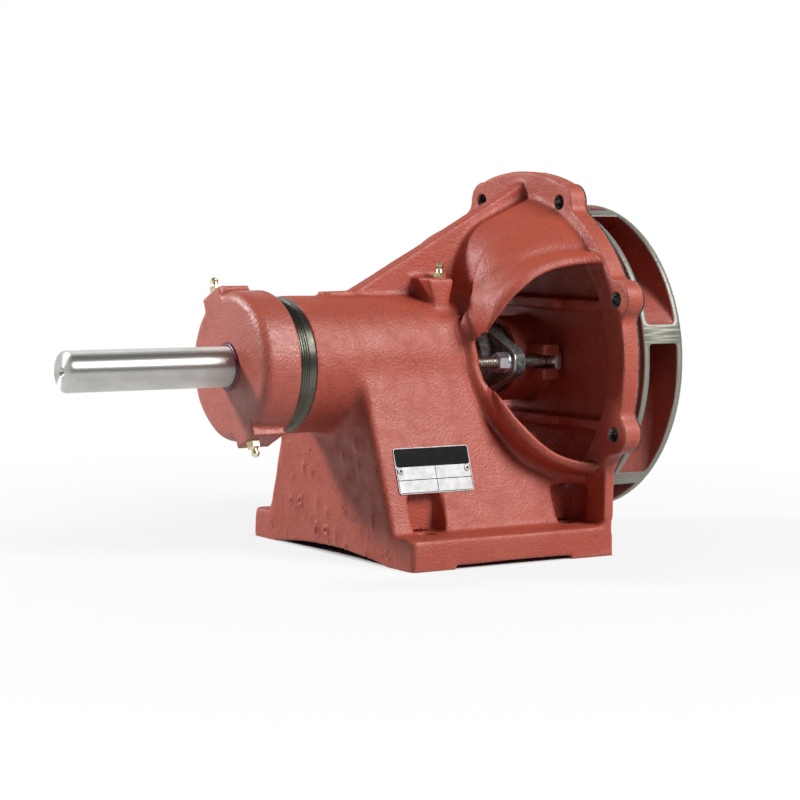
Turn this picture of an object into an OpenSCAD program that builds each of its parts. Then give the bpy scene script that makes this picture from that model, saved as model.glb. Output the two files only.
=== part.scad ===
// Pump powerhead: the bearing bracket, shaft and impeller half of an end suction pump.
// Millimetres. The origin is the centre of the volute bolt circle on the flange's
// pump side face. +X runs along the shaft to the impeller, +Z is up.
// Angles round the shaft are counted from -Y (the nameplate side) up towards +Z.

/* [Shaft] */
// Diameter of the bare drive end
shaft_d = 31.75; // [28:0.05:33]
// Diameter of the shaft under the cap's seal
journal_d = 33; // [32.5:0.1:34]
// Diameter of the shaft under the sleeve
sleeve_seat_d = 31; // [28:0.1:33]
// Diameter of the bearing seats
seat_d = 35; // [34.5:0.1:36]
// Diameter of the shaft between the bearings
waist_d = 42; // [40:0.5:46]
// Diameter of the shaft inside the impeller
impeller_seat_d = 25.4; // [22:0.1:28]
// Bare shaft that stands out of the bearing cap
drive_len = 141; // [80:1:200]
// Rounding of the drive end's edge
drive_round = 3.5; // [1:0.5:5]
// Width of the drive end keyway
keyway_w = 7.94; // [5:0.01:10]
// Depth of the drive end keyway
keyway_h = 4; // [2:0.1:5]
// Length of the drive end keyway
keyway_len = 38; // [24:1:60]
// Angle of the drive end keyway round the shaft
keyway_angle = -125; // [-180:1:180]

/* [Bearings] */
// Outside diameter of both ball bearings
bearing_od = 80; // [78:1:82]
// Width of both ball bearings
bearing_w = 21; // [18:1:24]
// Diameter of a bearing ball
ball_d = 13.2; // [12:0.1:13.6]
// Number of balls in a bearing
ball_n = 8; // [6:1:9]
// Place of the outboard bearing's drive side face
outboard_x = -279; // [-285:1:-275]
// Place of the inboard bearing's drive side face
inboard_x = -137; // [-145:1:-130]

/* [Bearing cap] */
// Outside diameter of the cap
cap_d = 117.5; // [115:0.5:124]
// Front face of the cap
cap_front_x = -294; // [-298:1:-292]
// Rear edge of the cap's skirt
cap_rear_x = -262; // [-266:1:-258]
// Rounding of the cap's front edge
cap_round = 9; // [4:0.5:12]
// Width of the two grease fitting bosses
cap_boss_w = 28; // [18:1:32]
// Distance from the shaft axis to a boss's flat top
cap_boss_top = 63; // [60:0.5:66]
// Angle of the first boss round the shaft
cap_boss_angle = 117; // [0:1:180]
// Distance from the cap's front face to the grease fittings
cap_fitting_in = 6.5; // [6:0.5:8]
// Pitch of the cap's thread
cap_pitch = 2.117; // [1.5:0.001:3]

/* [Barrel] */
// Diameter of the machined thread on the barrel
thread_d = 106.8; // [104:0.2:108]
// Diameter of the cast barrel
barrel_d = 108; // [107:0.5:112]
// Where the machined thread ends and the cast barrel starts
thread_end_x = -245; // [-250:1:-240]
// Radius of the cored space between the bearings
core_r = 42; // [38:1:45]

/* [Bell] */
// Distance from the flange's rim in to the bell
bell_in = 8.5; // [6:0.5:12]
// Slope of the bell's side from the shaft axis
bell_slope = 24; // [18:1:28]
// Radius of the bell's shoulder
bell_shoulder = 52; // [44:1:56]
// Outer face of the bell's back
bell_back_x = -88; // [-92:1:-86]
// Wall of the bell
bell_wall = 8; // [6:0.5:10]
// Radius of the side windows
window_r = 80; // [70:1:82]
// Place of the windows' centre along the shaft
window_x = -13.5; // [-20:0.5:-10]
// Height of the windows' centre
window_z = 2; // [-4:0.5:6]
// Width of the bead round a window
bead_w = 9; // [5:0.5:11]
// Height of the bead over the bell
bead_h = 4; // [2:0.5:6]
// Thickness of the top rib
rib_w = 13; // [8:0.5:18]
// Height of the top rib over the shaft at the flange
rib_top_z = 146.5; // [140:0.5:150]
// Start of the top rib on the barrel
rib_start_x = -187; // [-200:1:-170]

/* [Volute flange] */
// Thickness of the flange
flange_t = 15.5; // [12:0.5:20]
// Distance from the flange's rim between lugs in to the volute bolt circle
volute_hole_in = 1.5; // [0:0.5:4]
// Diameter of the volute bolt holes
volute_hole_d = 11.9; // [10:0.1:13]
// Number of volute bolt holes
volute_n = 8; // [6:1:10]
// Radius of the lug round each bolt hole
lug_r = 15.8; // [13:0.2:18]
// Radius of the rim between two lugs
rim_r = 142; // [140:0.5:144]
// Radius of the arc that joins the two top lugs
crown_r = 155; // [150:0.5:156]
// Radius of the fillet between a lug and the rim
lug_fillet = 9; // [5:0.5:12]
// Distance from the flange's rim in to the open space behind it
throat_in = 22; // [18:0.5:26]
// Distance from the flange's rim in to the machined spigot
spigot_in = 9; // [8.5:0.5:12]
// Length of the machined spigot
spigot_len = 7.5; // [5:0.5:9]
// Thickness of the volute gasket
gasket_t = 1.4; // [0.8:0.1:2]

/* [Stuffing box] */
// Outside radius of the stuffing box
box_r = 35.2; // [33:0.2:38]
// Drive side end of the stuffing box
box_end_x = -41.5; // [-46:0.5:-38]
// Side of the square packing
packing_s = 9.525; // [8:0.025:11]
// Number of packing rings
packing_n = 4; // [3:1:4]
// Outside diameter of the shaft sleeve
sleeve_d = 38.1; // [36:0.1:42]
// Drive side end of the shaft sleeve
sleeve_start_x = -75; // [-80:1:-66]
// Distance from the shaft axis to a gland bolt
gland_bolt_y = 46; // [44:0.5:50]
// Diameter of the gland bolts
gland_bolt_d = 9.5; // [8:0.1:10]
// Length of a gland bolt under its head
gland_bolt_len = 76; // [66:1:90]
// Thickness of the gland's ears
gland_t = 11; // [8:0.5:13]
// Gap between the gland's ears and the stuffing box
gland_gap = 8; // [5:0.5:10]
// Thickness of the slotted ears on the stuffing box
ear_t = 16; // [12:0.5:18]
// Reach of the slotted ears from the shaft axis
ear_reach = 58; // [56:0.5:60]
// Height of the slotted ears
ear_h = 29; // [26:0.5:34]

/* [Impeller] */
// Outside diameter of the impeller
impeller_d = 255.8; // [240:0.2:258]
// Rear face of the impeller's hub side shroud
impeller_x = 16.8; // [16:0.2:22]
// Thickness of each shroud
shroud_t = 6; // [4:0.5:8]
// Width of the water passage at the rim
passage_w = 28; // [20:0.5:34]
// Number of vanes
vane_n = 6; // [5:1:8]
// Thickness of a vane
vane_t = 7; // [5:0.5:9]
// Angle between a vane and the rim
vane_angle = 27; // [22:1:34]
// Angle of the first vane's tip round the shaft
vane_start = 10.9; // [0:0.1:59]
// Radius of the suction eye
eye_r = 58; // [50:1:62]
// Length of the skirt round the eye
eye_skirt = 23; // [12:1:30]
// Radius of the impeller's hub
hub_r = 22; // [20:0.5:26]

/* [Foot] */
// Height of the shaft over the foot
shaft_h = 152.2; // [146:0.2:170]
// Width of the foot
foot_w = 239.4; // [232:0.2:250]
// Thickness of the foot
foot_t = 24.4; // [18:0.2:28]
// Drive side end of the foot
foot_x0 = -199.1; // [-205:0.1:-192]
// Pump side end of the foot
foot_x1 = -5; // [-7:0.5:-3]
// Distance between the foot's bolt holes along the shaft
foot_span_x = 139.7; // [130:0.1:145]
// Distance between the foot's bolt holes across the shaft
foot_span_y = 171.5; // [168:0.5:180]
// Place of the foot's bolt pattern along the shaft
foot_holes_x = -95; // [-98:0.5:-92]
// Diameter of the foot's bolt holes
foot_hole_d = 14.3; // [11:0.1:16]
// Radius of the wrench niche over each hole
niche_r = 16; // [13:0.5:17]
// Height of the wrench niches over the foot
niche_h = 30; // [20:1:36]
// Lean of the pedestal's side walls
pedestal_tilt = 18; // [15:0.5:19]
// Half width of the pedestal at its top
pedestal_top_w = 53.8; // [52:0.2:56]
// Wall of the pedestal
pedestal_wall = 9; // [7:0.5:11]

/* [Nameplate] */
// Width of the nameplate
plate_w = 70.8; // [60:0.1:76]
// Height of the nameplate
plate_h = 36.5; // [30:0.5:40]
// Thickness of the nameplate
plate_t = 0.8; // [0.5:0.1:1.2]
// Place of the nameplate along the shaft
plate_x = -153; // [-156:1:-145]
// Height of the nameplate's centre
plate_z = -79.5; // [-82:0.5:-76]

/* [Hidden] */

$fn = 96;
eps = 0.01;
// size of the blocks and rods that cut past a piece
past = 300;
// running gap between a turning or sliding piece and its bore
run = 0.05;
// gap between curved faces that only pass each other
loose = 0.35;
// how far a fillet cuts into its neighbours, so that they cross and don't just touch
blend = 0.05;

shaft_r = shaft_d / 2;
journal_r = journal_d / 2;
sleeve_seat_r = sleeve_seat_d / 2;
seat_r = seat_d / 2;
waist_r = waist_d / 2;
impeller_seat_r = impeller_seat_d / 2;
drive_end_x = cap_front_x - drive_len;
cutter_r = 20;
// how far the seal journal stands out of the cap
journal_out = 1;
centre_r = 4;
centre_depth = 5;

race_r = bearing_od / 2;
ball_pitch_r = (race_r + seat_r) / 2;
groove_r = ball_d / 2 + 0.3;
race_shoulder = 4.4;
race_chamfer = 1;
ring_t = 1.6;
ring_depth = 1.8;
ring_gap = 10;
cage_t = 2.2;
cage_w = ball_d + 3.6;

cap_r = cap_d / 2;
thread_r = thread_d / 2;
barrel_r = barrel_d / 2;
barrel_end_x = outboard_x + 3;
cap_groove_x = outboard_x - 2;
// how far the cap moves the shaft each way, in one and a half turns
cap_feed = 1.5 * cap_pitch;
cap_sleeve_t = 5.5;
cap_sleeve_r = race_r + cap_sleeve_t;
cap_sleeve_end_x = outboard_x + bearing_w + 8;
counterbore_end_x = cap_sleeve_end_x + 6;
cap_lip = 3;
seal_w = 8;
seal_r = 26;
seal_x = cap_front_x + cap_lip;
grease_space_r = race_r - 6;
thread_turns = 5;
thread_depth = 0.8;

fitting_hex = 9.5;
fitting_hex_h = 4.5;
fitting_h = 12.5;
fitting_shank_r = 4.2;
fitting_shank = 7;
grease_way_r = 1.6;
grease_way_len = 24;

inner_seal_r = seal_r;
inner_cavity_x = inboard_x + bearing_w + cap_feed + 0.8;
inner_seal_x = inner_cavity_x + 7;
pocket_r = 46;
pocket_x = inner_seal_x + seal_w;
inner_cavity_r = 36;
port_way_r = 2.2;

volute_pcd = 2 * (rim_r - volute_hole_in);
bell_r = rim_r - bell_in;
throat_r = rim_r - throat_in;
spigot_r = rim_r - spigot_in;
spigot_w = 9;
// how far the window opens drive side of the stuffing box
window_slot = 20;
// how far the gasket's outline stays inside the flange's
gasket_trim = 0.6;
// undercut at the spigot's root, so that the gasket lies flat
undercut = 0.6;
disc_face_x = -6.5;
disc_front_x = 2;
shoulder_cx = bell_back_x + bell_shoulder;
shoulder_cr = bell_r - (-flange_t - (shoulder_cx - bell_shoulder * sin(bell_slope)))
  * tan(bell_slope) - bell_shoulder * cos(bell_slope);
back_fillet = 12;
window_in = 36;
web_z = 48;
web_t = 8;
web_depth = 15;
web_reach = sqrt(throat_r * throat_r - web_z * web_z) + 4;

packing_r = sleeve_d / 2 + packing_s;
gland_x = box_end_x - gland_gap - gland_t;
nose_len = 14.3;
nose_tip_x = gland_x + gland_t + nose_len;
packing_end_x = nose_tip_x + 0.1 + packing_n * packing_s;
throat_wall = 4;
throat_end_x = packing_end_x + 0.1 + throat_wall;
sleeve_end_x = throat_end_x + 4;
ear_x = -flange_t - ear_t;
slot_w = gland_bolt_d + 1.3;
bolt_head_s = 14.3;
bolt_head_t = 6.35;
bolt_head_x = -flange_t + run;
nut_af = 14.3;
nut_t = 8.3;
washer_t = 2.4;
washer_r = 8.6;
gland_ear_r = 12.5;
gland_hub_r = 30;

slinger_in = 17;
slinger_lip = 9;
slinger_wall = 4;
slinger_w = 6;

hub_x = sleeve_end_x;
passage_x = impeller_x + shroud_t;
front_x = passage_x + passage_w;
impeller_r = impeller_d / 2;
hub_end_x = front_x + 1;
// the hub side shroud swells towards the hub
swell_out = 30;
swell_mid = 12;
swell_h = 16;
eye_wall = 6;
eye_swell = 10;
shaft_end_x = hub_end_x - 2;
key_s = 6.35;
key_len = 26;
key_x = hub_end_x - key_len - 6;
impeller_bolt_r = 6.35;
impeller_bolt_in = 22;
impeller_bolt_af = 19;
impeller_bolt_head = 8;
corner_cut = 0.3;
impeller_washer_r = 18;
impeller_washer_t = 4;

foot_z = -shaft_h;
foot_top_z = foot_z + foot_t;
pedestal_top_z = -4;
end_top_x = foot_x0 - 6.4;
end_foot_x = foot_x0 - 1.4;
wall_x0 = -flange_t + 1;
hollow_top_z = -barrel_r - 8;
boss_r = niche_r + 7;
niche_roof = 7;
foot_corner_r = 5;
wall_top_z = -70;
relief_h = 3;
relief_inset = 41;
arch_h = 6;
arch_half = 84;
arch_depth = 14;

port_x = inner_seal_x - 4.5;
port_y = -20;
port_boss_z = 68;
port_boss_reach = 12;
port_boss_out = 19.5;
port_boss_in = 7.5;
port_boss_root = 10;
pad_len = 18;
pad_r = 8;
pad_h = 3;
plate_rivet_in = 4;

// Helpers

function half_width(z) = pedestal_top_w + (pedestal_top_z - z) * tan(pedestal_tilt);

// a point in the flat that faces along the shaft, at an angle from -Y up to +Z
function polar(angle, radius) = [-radius * sin(angle), -radius * cos(angle)];

// stands a flat outline up so that it extrudes along +X from x
module axial(x) translate([x, 0, 0]) rotate([0, 90, 0]) children();

// turns a profile of [radius, x] points round the shaft axis
module turned(profile) rotate([0, 90, 0]) rotate_extrude() polygon(profile);

module tube_x(x0, x1, r_in, r_out)
  turned([[r_in, x0], [r_out, x0], [r_out, x1], [r_in, x1]]);

module rod_x(x0, x1, r) axial(x0) cylinder(h = x1 - x0, r = r);

// children drawn pointing along -Y are turned to an angle round the shaft
module round_shaft(angle) rotate([-angle, 0, 0]) children();

// extrudes an outline of [x, z] points by w across the shaft
module slab_y(w) rotate([90, 0, 0]) linear_extrude(w, center = true) children();

// extrudes an outline of [x, y] points by w about the shaft's height
module slab_z(w) linear_extrude(w, center = true) children();

// extrudes an outline of [y, z] points along the shaft
module slab_x(x0, x1)
  translate([x0, 0, 0]) rotate([90, 0, 90]) linear_extrude(x1 - x0) children();

module mirrored_y() {
  children();
  mirror([0, 1, 0]) children();
}

module hex(af, h) cylinder(h = h, r = af / 2 / cos(30), $fn = 6);

// hexagon along +X from 0, with the corners of its drive side (or else its pump side) turned off
module chamfered_hex(af, h, drive_side = true)
  intersection() {
    axial(0) hex(af, h);
    turned([for (p = [[0, 0], [af / 2 - corner_cut, 0], [af / 2 + 2 - corner_cut, 1.2],
      [af / 2 + 2 - corner_cut, h], [0, h]]) [p[0], drive_side ? p[1] : h - p[1]]]);
  }

module rounded_rect(x0, x1, half_y, r) {
  translate([x0 + r, -half_y]) square([x1 - x0 - 2 * r, 2 * half_y]);
  translate([x0, -half_y + r]) square([x1 - x0, 2 * half_y - 2 * r]);
  for (x = [x0 + r, x1 - r], y = [-half_y + r, half_y - r]) translate([x, y]) circle(r);
}

// Bracket

// fillet between one lug and the rim, on the side that the angle grows to
module lug_web(trim) {
  far = rim_r - trim + lug_fillet - blend;
  near = lug_r - trim + lug_fillet - blend;
  pcr = volute_pcd / 2;
  swing = acos((far * far + pcr * pcr - near * near) / (2 * far * pcr));
  centre = polar(swing, far);
  lug = polar(0, pcr);
  difference() {
    polygon([lug, polar(swing, rim_r - trim), centre, lug + (centre - lug) * (lug_r - trim) / near]);
    translate(centre) circle(lug_fillet);
  }
}

// turns children to each lug in turn; two lugs stand evenly about the top
module at_lugs()
  for (i = [0:volute_n - 1]) rotate(-90 - (i + 0.5) * 360 / volute_n) children();

module flange_outline(trim = 0) {
  circle(rim_r - trim, $fn = 180);
  at_lugs() {
    translate(polar(0, volute_pcd / 2)) circle(lug_r - trim, $fn = 48);
    lug_web(trim);
    mirror([1, 0]) lug_web(trim);
  }
  // crown between the two top lugs
  crown = 180 / volute_n;
  intersection() {
    circle(crown_r - trim, $fn = 180);
    polygon([[0, 0], for (a = [-crown, 0, crown]) 2 * crown_r * [-cos(a), sin(a)]]);
  }
}

module volute_holes()
  at_lugs() translate(polar(0, volute_pcd / 2)) circle(d = volute_hole_d, $fn = 48);

// bell profile: cone, shoulder and back, moved in or out by grow
function bell_profile(grow, inner_r, inner_x) = concat(
  [[inner_r, -flange_t], [bell_r + grow / cos(bell_slope), -flange_t]],
  [for (i = [0:12]) let (a = bell_slope + (90 - bell_slope) * i / 12)
    [shoulder_cr + (bell_shoulder + grow) * cos(a), shoulder_cx - (bell_shoulder + grow) * sin(a)]],
  [[inner_r, inner_x]]);

module bell_outside() {
  turned(bell_profile(0, 0, bell_back_x));
  // fillet from the back down to the barrel
  turned(concat([[0, bell_back_x]],
    [for (i = [0:6]) let (b = 15 * i)
      [barrel_r + back_fillet - back_fillet * sin(b),
       bell_back_x - back_fillet + back_fillet * cos(b)]],
    [[0, bell_back_x - back_fillet]]));
}

module bell_cavity() {
  turned(concat([[0, pocket_x], [pocket_r, pocket_x], [pocket_r, bell_back_x + bell_wall]],
    [for (i = [12:-1:0]) let (a = bell_slope + (90 - bell_slope) * i / 12)
      [shoulder_cr + (bell_shoulder - bell_wall) * cos(a),
       shoulder_cx - (bell_shoulder - bell_wall) * sin(a)]],
    [[bell_r - bell_wall / cos(bell_slope), -flange_t], [throat_r, -flange_t],
     [throat_r, disc_face_x], [0, disc_face_x]]));
}

// a disc shaped block beside the shaft, as wide as a window
module window_disc(r)
  translate([window_x, -window_in, window_z]) rotate([90, 0, 0]) cylinder(h = past, r = r, $fn = 144);

// everything on the drive side of x, further from the shaft than y
module beyond(x, y) translate([x - past, -y - past, -past]) cube([past, past, 2 * past]);

module window_cut()
  mirrored_y() intersection() {
    window_disc(window_r);
    union() {
      beyond(-flange_t, ear_reach + 4);
      beyond(box_end_x - 1, box_r + 2);
      beyond(box_end_x - window_slot, 0);
    }
  }

// raised bead that follows the bell and the side wall round a window
module window_bead()
  mirrored_y() intersection() {
    window_disc(window_r + bead_w);
    beyond(-flange_t, 0);
    union() {
      turned(bell_profile(bead_h, 0, bell_back_x - bead_h));
      rod_x(bell_back_x - 2 * back_fillet, bell_back_x + eps, barrel_r + bead_h / 2);
      pedestal_block(bead_h / cos(pedestal_tilt));
    }
  }

module pedestal_block(grow) {
  top_w = pedestal_top_w + grow;
  low_w = half_width(foot_z) + grow;
  intersection() {
    slab_x(end_top_x, foot_x1)
      polygon([[-top_w, pedestal_top_z], [top_w, pedestal_top_z], [low_w, foot_z], [-low_w, foot_z]]);
    slab_y(foot_w)
      polygon([[end_top_x, pedestal_top_z], [foot_x1, pedestal_top_z], [foot_x1, foot_z],
               [foot_x0, foot_z], [end_foot_x, foot_top_z]]);
  }
}

module pedestal_hollow() {
  wall = pedestal_wall / cos(pedestal_tilt);
  top_w = half_width(hollow_top_z) - wall;
  low_w = half_width(foot_z) - wall;
  slab_x(end_foot_x + pedestal_wall, wall_x0)
    polygon([[-top_w, hollow_top_z], [top_w, hollow_top_z], [low_w, foot_z - 1], [-low_w, foot_z - 1]]);
}

module foot_slab()
  translate([0, 0, foot_z]) linear_extrude(foot_t)
    rounded_rect(foot_x0, foot_x1, foot_w / 2, foot_corner_r);

module at_foot_holes()
  for (sx = [-1, 1], sy = [-1, 1])
    translate([foot_holes_x + sx * foot_span_x / 2, sy * foot_span_y / 2, foot_z]) children();

module foot_and_pedestal() {
  difference() {
    union() {
      pedestal_block(0);
      foot_slab();
    }
    pedestal_hollow();
  }
  // solid columns behind the wrench niches
  intersection() {
    at_foot_holes() cylinder(h = foot_t + niche_h + niche_roof, r = boss_r, $fn = 64);
    union() {
      pedestal_block(0);
      foot_slab();
    }
  }
  // end wall that carries the flange
  translate([wall_x0, -foot_w / 2, foot_z]) cube([foot_x1 - wall_x0, foot_w, wall_top_z - foot_z]);
}

module foot_cuts() {
  at_foot_holes() {
    translate([0, 0, -1]) cylinder(h = foot_t + 2, d = foot_hole_d, $fn = 48);
    translate([0, 0, foot_t]) cylinder(h = niche_h, r = niche_r, $fn = 64);
  }
  // relief between the foot pads, along both sides and under the drive end
  translate([foot_x0 + relief_inset, -foot_w, foot_z - 1])
    cube([foot_x1 - foot_x0 - 2 * relief_inset, 2 * foot_w, relief_h + 1]);
  arch_r = (arch_half * arch_half + arch_h * arch_h) / (2 * arch_h);
  intersection() {
    translate([0, 0, foot_z + arch_h - arch_r]) rod_x(foot_x0 - 1, foot_x0 + arch_depth, arch_r, $fn = 360);
    translate([foot_x0 - 1, -arch_half, foot_z - 1]) cube([2 * arch_depth, 2 * arch_half, 2 * arch_h]);
  }
}

module top_rib() {
  root_z = barrel_r - 12;
  slab_y(rib_w) polygon([[rib_start_x, root_z], [rib_start_x, barrel_r],
    [rib_start_x + 5, barrel_r + pad_h], [-flange_t, rib_top_z], [-flange_t, root_z]]);
  // low oval pad where the rib starts
  translate([rib_start_x, 0, root_z]) linear_extrude(barrel_r + pad_h - root_z) {
    for (x = [2 - pad_len, 2]) translate([x, 0]) circle(pad_r, $fn = 48);
    translate([2 - pad_len, -pad_r]) square([pad_len, 2 * pad_r]);
  }
}

// boss that carries the inboard grease fitting, between the rib and the bell; it widens upwards
module port_boss()
  translate([0, (port_y - port_boss_reach) / 2, 0]) slab_y(port_boss_reach - port_y)
    polygon([[port_x - port_boss_out, port_boss_z], [port_x + port_boss_in, port_boss_z],
      [port_x + 1, core_r - 2], [port_x - port_boss_root, core_r - 2]]);

module stuffing_box() {
  rod_x(box_end_x, disc_front_x, box_r);
  rod_x(disc_front_x - eps, throat_end_x, packing_r + throat_wall);
  // ears for the gland bolts
  translate([ear_x, -ear_reach, -ear_h / 2]) cube([ear_t, 2 * ear_reach, ear_h]);
  // webs across the back of the disc
  for (z = [web_z, -web_z]) translate([0, 0, z]) {
    slab_z(web_t) polygon([[disc_face_x + 1, -web_reach], [disc_face_x + 1, web_reach],
      [-flange_t, web_reach], [-flange_t, ear_reach], [disc_face_x - web_depth, ear_reach],
      [disc_face_x - web_depth, -ear_reach], [-flange_t, -ear_reach], [-flange_t, -web_reach]]);
  }
}

module bolt_slots()
  mirrored_y() {
    translate([ear_x - 1, -gland_bolt_y, 0]) rod_x(0, ear_t + 2, slot_w / 2);
    translate([ear_x - 1, -ear_reach - 5, -slot_w / 2])
      cube([ear_t + 2, ear_reach + 5 - gland_bolt_y, slot_w]);
  }

module barrel_bores() {
  rod_x(barrel_end_x - 1, counterbore_end_x, cap_sleeve_r + loose);
  rod_x(counterbore_end_x - eps, inboard_x - 3, core_r);
  rod_x(inboard_x - 3 - eps, inner_cavity_x, race_r + run);
  rod_x(inner_cavity_x - eps, inner_seal_x, inner_cavity_r);
  rod_x(inner_seal_x - eps, pocket_x + eps, inner_seal_r + run);
}

module grease_port() {
  translate([port_x, port_y, port_boss_z - fitting_shank - 1])
    cylinder(h = fitting_shank + 2, r = fitting_shank_r + run, $fn = 32);
  translate([port_x, port_y, inner_cavity_r / 2])
    cylinder(h = port_boss_z - inner_cavity_r / 2 - fitting_shank, r = port_way_r, $fn = 24);
}

module bracket()
  color("#a5463c") difference() {
    union() {
      difference() {
        union() {
          axial(-flange_t) linear_extrude(flange_t) flange_outline();
          bell_outside();
          rod_x(thread_end_x, bell_back_x, barrel_r);
          threaded_end();
          foot_and_pedestal();
          top_rib();
          port_boss();
          window_bead();
        }
        bell_cavity();
        window_cut();
      }
      rod_x(disc_face_x - eps, disc_front_x, throat_r + 1);
      tube_x(-1, gasket_t + 0.1 + eps, spigot_r - spigot_w, spigot_r - undercut);
      tube_x(gasket_t + 0.1, spigot_len, spigot_r - spigot_w, spigot_r);
      stuffing_box();
    }
    axial(-flange_t - 1) linear_extrude(flange_t + 2) volute_holes();
    bolt_slots();
    foot_cuts();
    barrel_bores();
    grease_port();
    // packing space and throat
    rod_x(box_end_x - 1, packing_end_x + 0.1, packing_r + run);
    rod_x(packing_end_x, throat_end_x + 1, sleeve_d / 2 + loose);
  }

// machined end of the barrel, grooved where the thread shows behind the cap
module threaded_end() {
  pitch = cap_pitch;
  turned(concat([[0, barrel_end_x], [thread_r, barrel_end_x]],
    [for (i = [0:thread_turns - 1]) each
      [[thread_r, cap_rear_x + 1.5 + i * pitch],
       [thread_r - thread_depth, cap_rear_x + 1.5 + (i + 0.3) * pitch],
       [thread_r, cap_rear_x + 1.5 + (i + 0.6) * pitch]]],
    [[thread_r, thread_end_x + 1], [0, thread_end_x + 1]]));
}

// Bearing cap, its seal and its ring

module cap_outside() {
  turned(concat([[0, cap_front_x]],
    [for (i = [0:6]) let (a = 15 * i)
      [cap_r - cap_round + cap_round * sin(a), cap_front_x + cap_round - cap_round * cos(a)]],
    [[cap_r, cap_rear_x], [0, cap_rear_x]]));
  for (a = [0, 180]) round_shaft(cap_boss_angle + a)
    translate([cap_front_x, -cap_boss_top, -cap_boss_w / 2])
      cube([cap_rear_x - cap_front_x - 4, cap_boss_top, cap_boss_w]);
}

module bearing_cap()
  color("#a5463c") difference() {
    union() {
      cap_outside();
      rod_x(cap_rear_x - eps, cap_sleeve_end_x, cap_sleeve_r);
    }
    // groove that takes the barrel's threaded end
    tube_x(cap_groove_x, cap_rear_x + eps, cap_sleeve_r, thread_r + run);
    rod_x(cap_front_x - 1, seal_x + 1, journal_r + 0.6);
    rod_x(seal_x, seal_x + seal_w + eps, seal_r + run);
    rod_x(seal_x + seal_w, outboard_x, grease_space_r);
    rod_x(outboard_x - run, cap_sleeve_end_x + 1, race_r + run);
    tube_x(outboard_x + bearing_w + 0.1, outboard_x + bearing_w + 0.3 + ring_t, race_r - 1,
           race_r + ring_depth + run);
    for (a = [0, 180]) round_shaft(cap_boss_angle + a) {
      translate([cap_front_x + cap_fitting_in, -cap_boss_top + fitting_shank + 0.5, 0]) rotate([90, 0, 0])
        cylinder(h = 2 * fitting_shank, r = fitting_shank_r + run, $fn = 32);
      // grease way, drilled aslant to the space beside the bearing
      translate([outboard_x - 2, -grease_space_r + 2, 0]) rotate([90, 0, -16])
        cylinder(h = grease_way_len, r = grease_way_r, $fn = 16);
    }
  }

module cap_seal()
  color("#2b2b2b") turned([
    [journal_r + 1.2, seal_x + 0.1], [seal_r, seal_x + 0.1], [seal_r, seal_x + seal_w - 0.1],
    [seal_r - 2, seal_x + seal_w - 0.1], [seal_r - 2, seal_x + 3], [journal_r + 4, seal_x + 3],
    [journal_r + 3, seal_x + seal_w - 1.5], [journal_r + run, seal_x + seal_w - 2.5],
    [journal_r + 1.2, seal_x + 3]]);

module cap_retaining_ring()
  color("#8d8d8a") difference() {
    tube_x(outboard_x + bearing_w + 0.2, outboard_x + bearing_w + 0.2 + ring_t, race_r - 3.5,
           race_r + ring_depth);
    // gap and plier ears
    translate([outboard_x + bearing_w - 1, -race_r - 5, -ring_gap / 2])
      cube([ring_t + 3, 12, ring_gap]);
  }

// Ball bearings, drawn from x along the shaft

module race_outer(x)
  difference() {
    turned([[race_r - race_shoulder - 2, x], [race_r - race_chamfer, x], [race_r, x + race_chamfer],
      [race_r, x + bearing_w - race_chamfer], [race_r - race_chamfer, x + bearing_w],
      [race_r - race_shoulder - 2, x + bearing_w]]);
    ball_groove(x);
  }

module race_inner(x)
  difference() {
    turned([[seat_r + run / 2, x], [seat_r + race_shoulder + 2, x],
      [seat_r + race_shoulder + 2, x + bearing_w], [seat_r + run / 2, x + bearing_w]]);
    ball_groove(x);
  }

module ball_groove(x)
  axial(x + bearing_w / 2) rotate_extrude() translate([ball_pitch_r, 0]) circle(groove_r, $fn = 48);

module at_balls(x)
  for (i = [0:ball_n - 1]) round_shaft(i * 360 / ball_n)
    translate([x + bearing_w / 2, -ball_pitch_r, 0]) children();

module balls(x) at_balls(x) sphere(d = ball_d, $fn = 32);

module cage(x)
  difference() {
    tube_x(x + (bearing_w - cage_w) / 2, x + (bearing_w + cage_w) / 2,
           ball_pitch_r - cage_t / 2, ball_pitch_r + cage_t / 2);
    at_balls(x) rotate([90, 0, 0]) cylinder(h = 8, d = ball_d + 0.3, center = true, $fn = 32);
  }

module outboard_outer_race() color("#b9bbbd") race_outer(outboard_x);
module outboard_inner_race() color("#b9bbbd") race_inner(outboard_x);
module outboard_balls() color("#d5d7d9") balls(outboard_x);
module outboard_cage() color("#b08d4a") cage(outboard_x);
module inboard_outer_race() color("#b9bbbd") race_outer(inboard_x);
module inboard_inner_race() color("#b9bbbd") race_inner(inboard_x);
module inboard_balls() color("#d5d7d9") balls(inboard_x);
module inboard_cage() color("#b08d4a") cage(inboard_x);

// Shaft and the pieces that turn with it

// snap ring grooves: drive side of the outboard bearing, pump side of the inboard one
ring_xs = [outboard_x - 0.2 - ring_t, inboard_x + bearing_w + 0.2];

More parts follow.
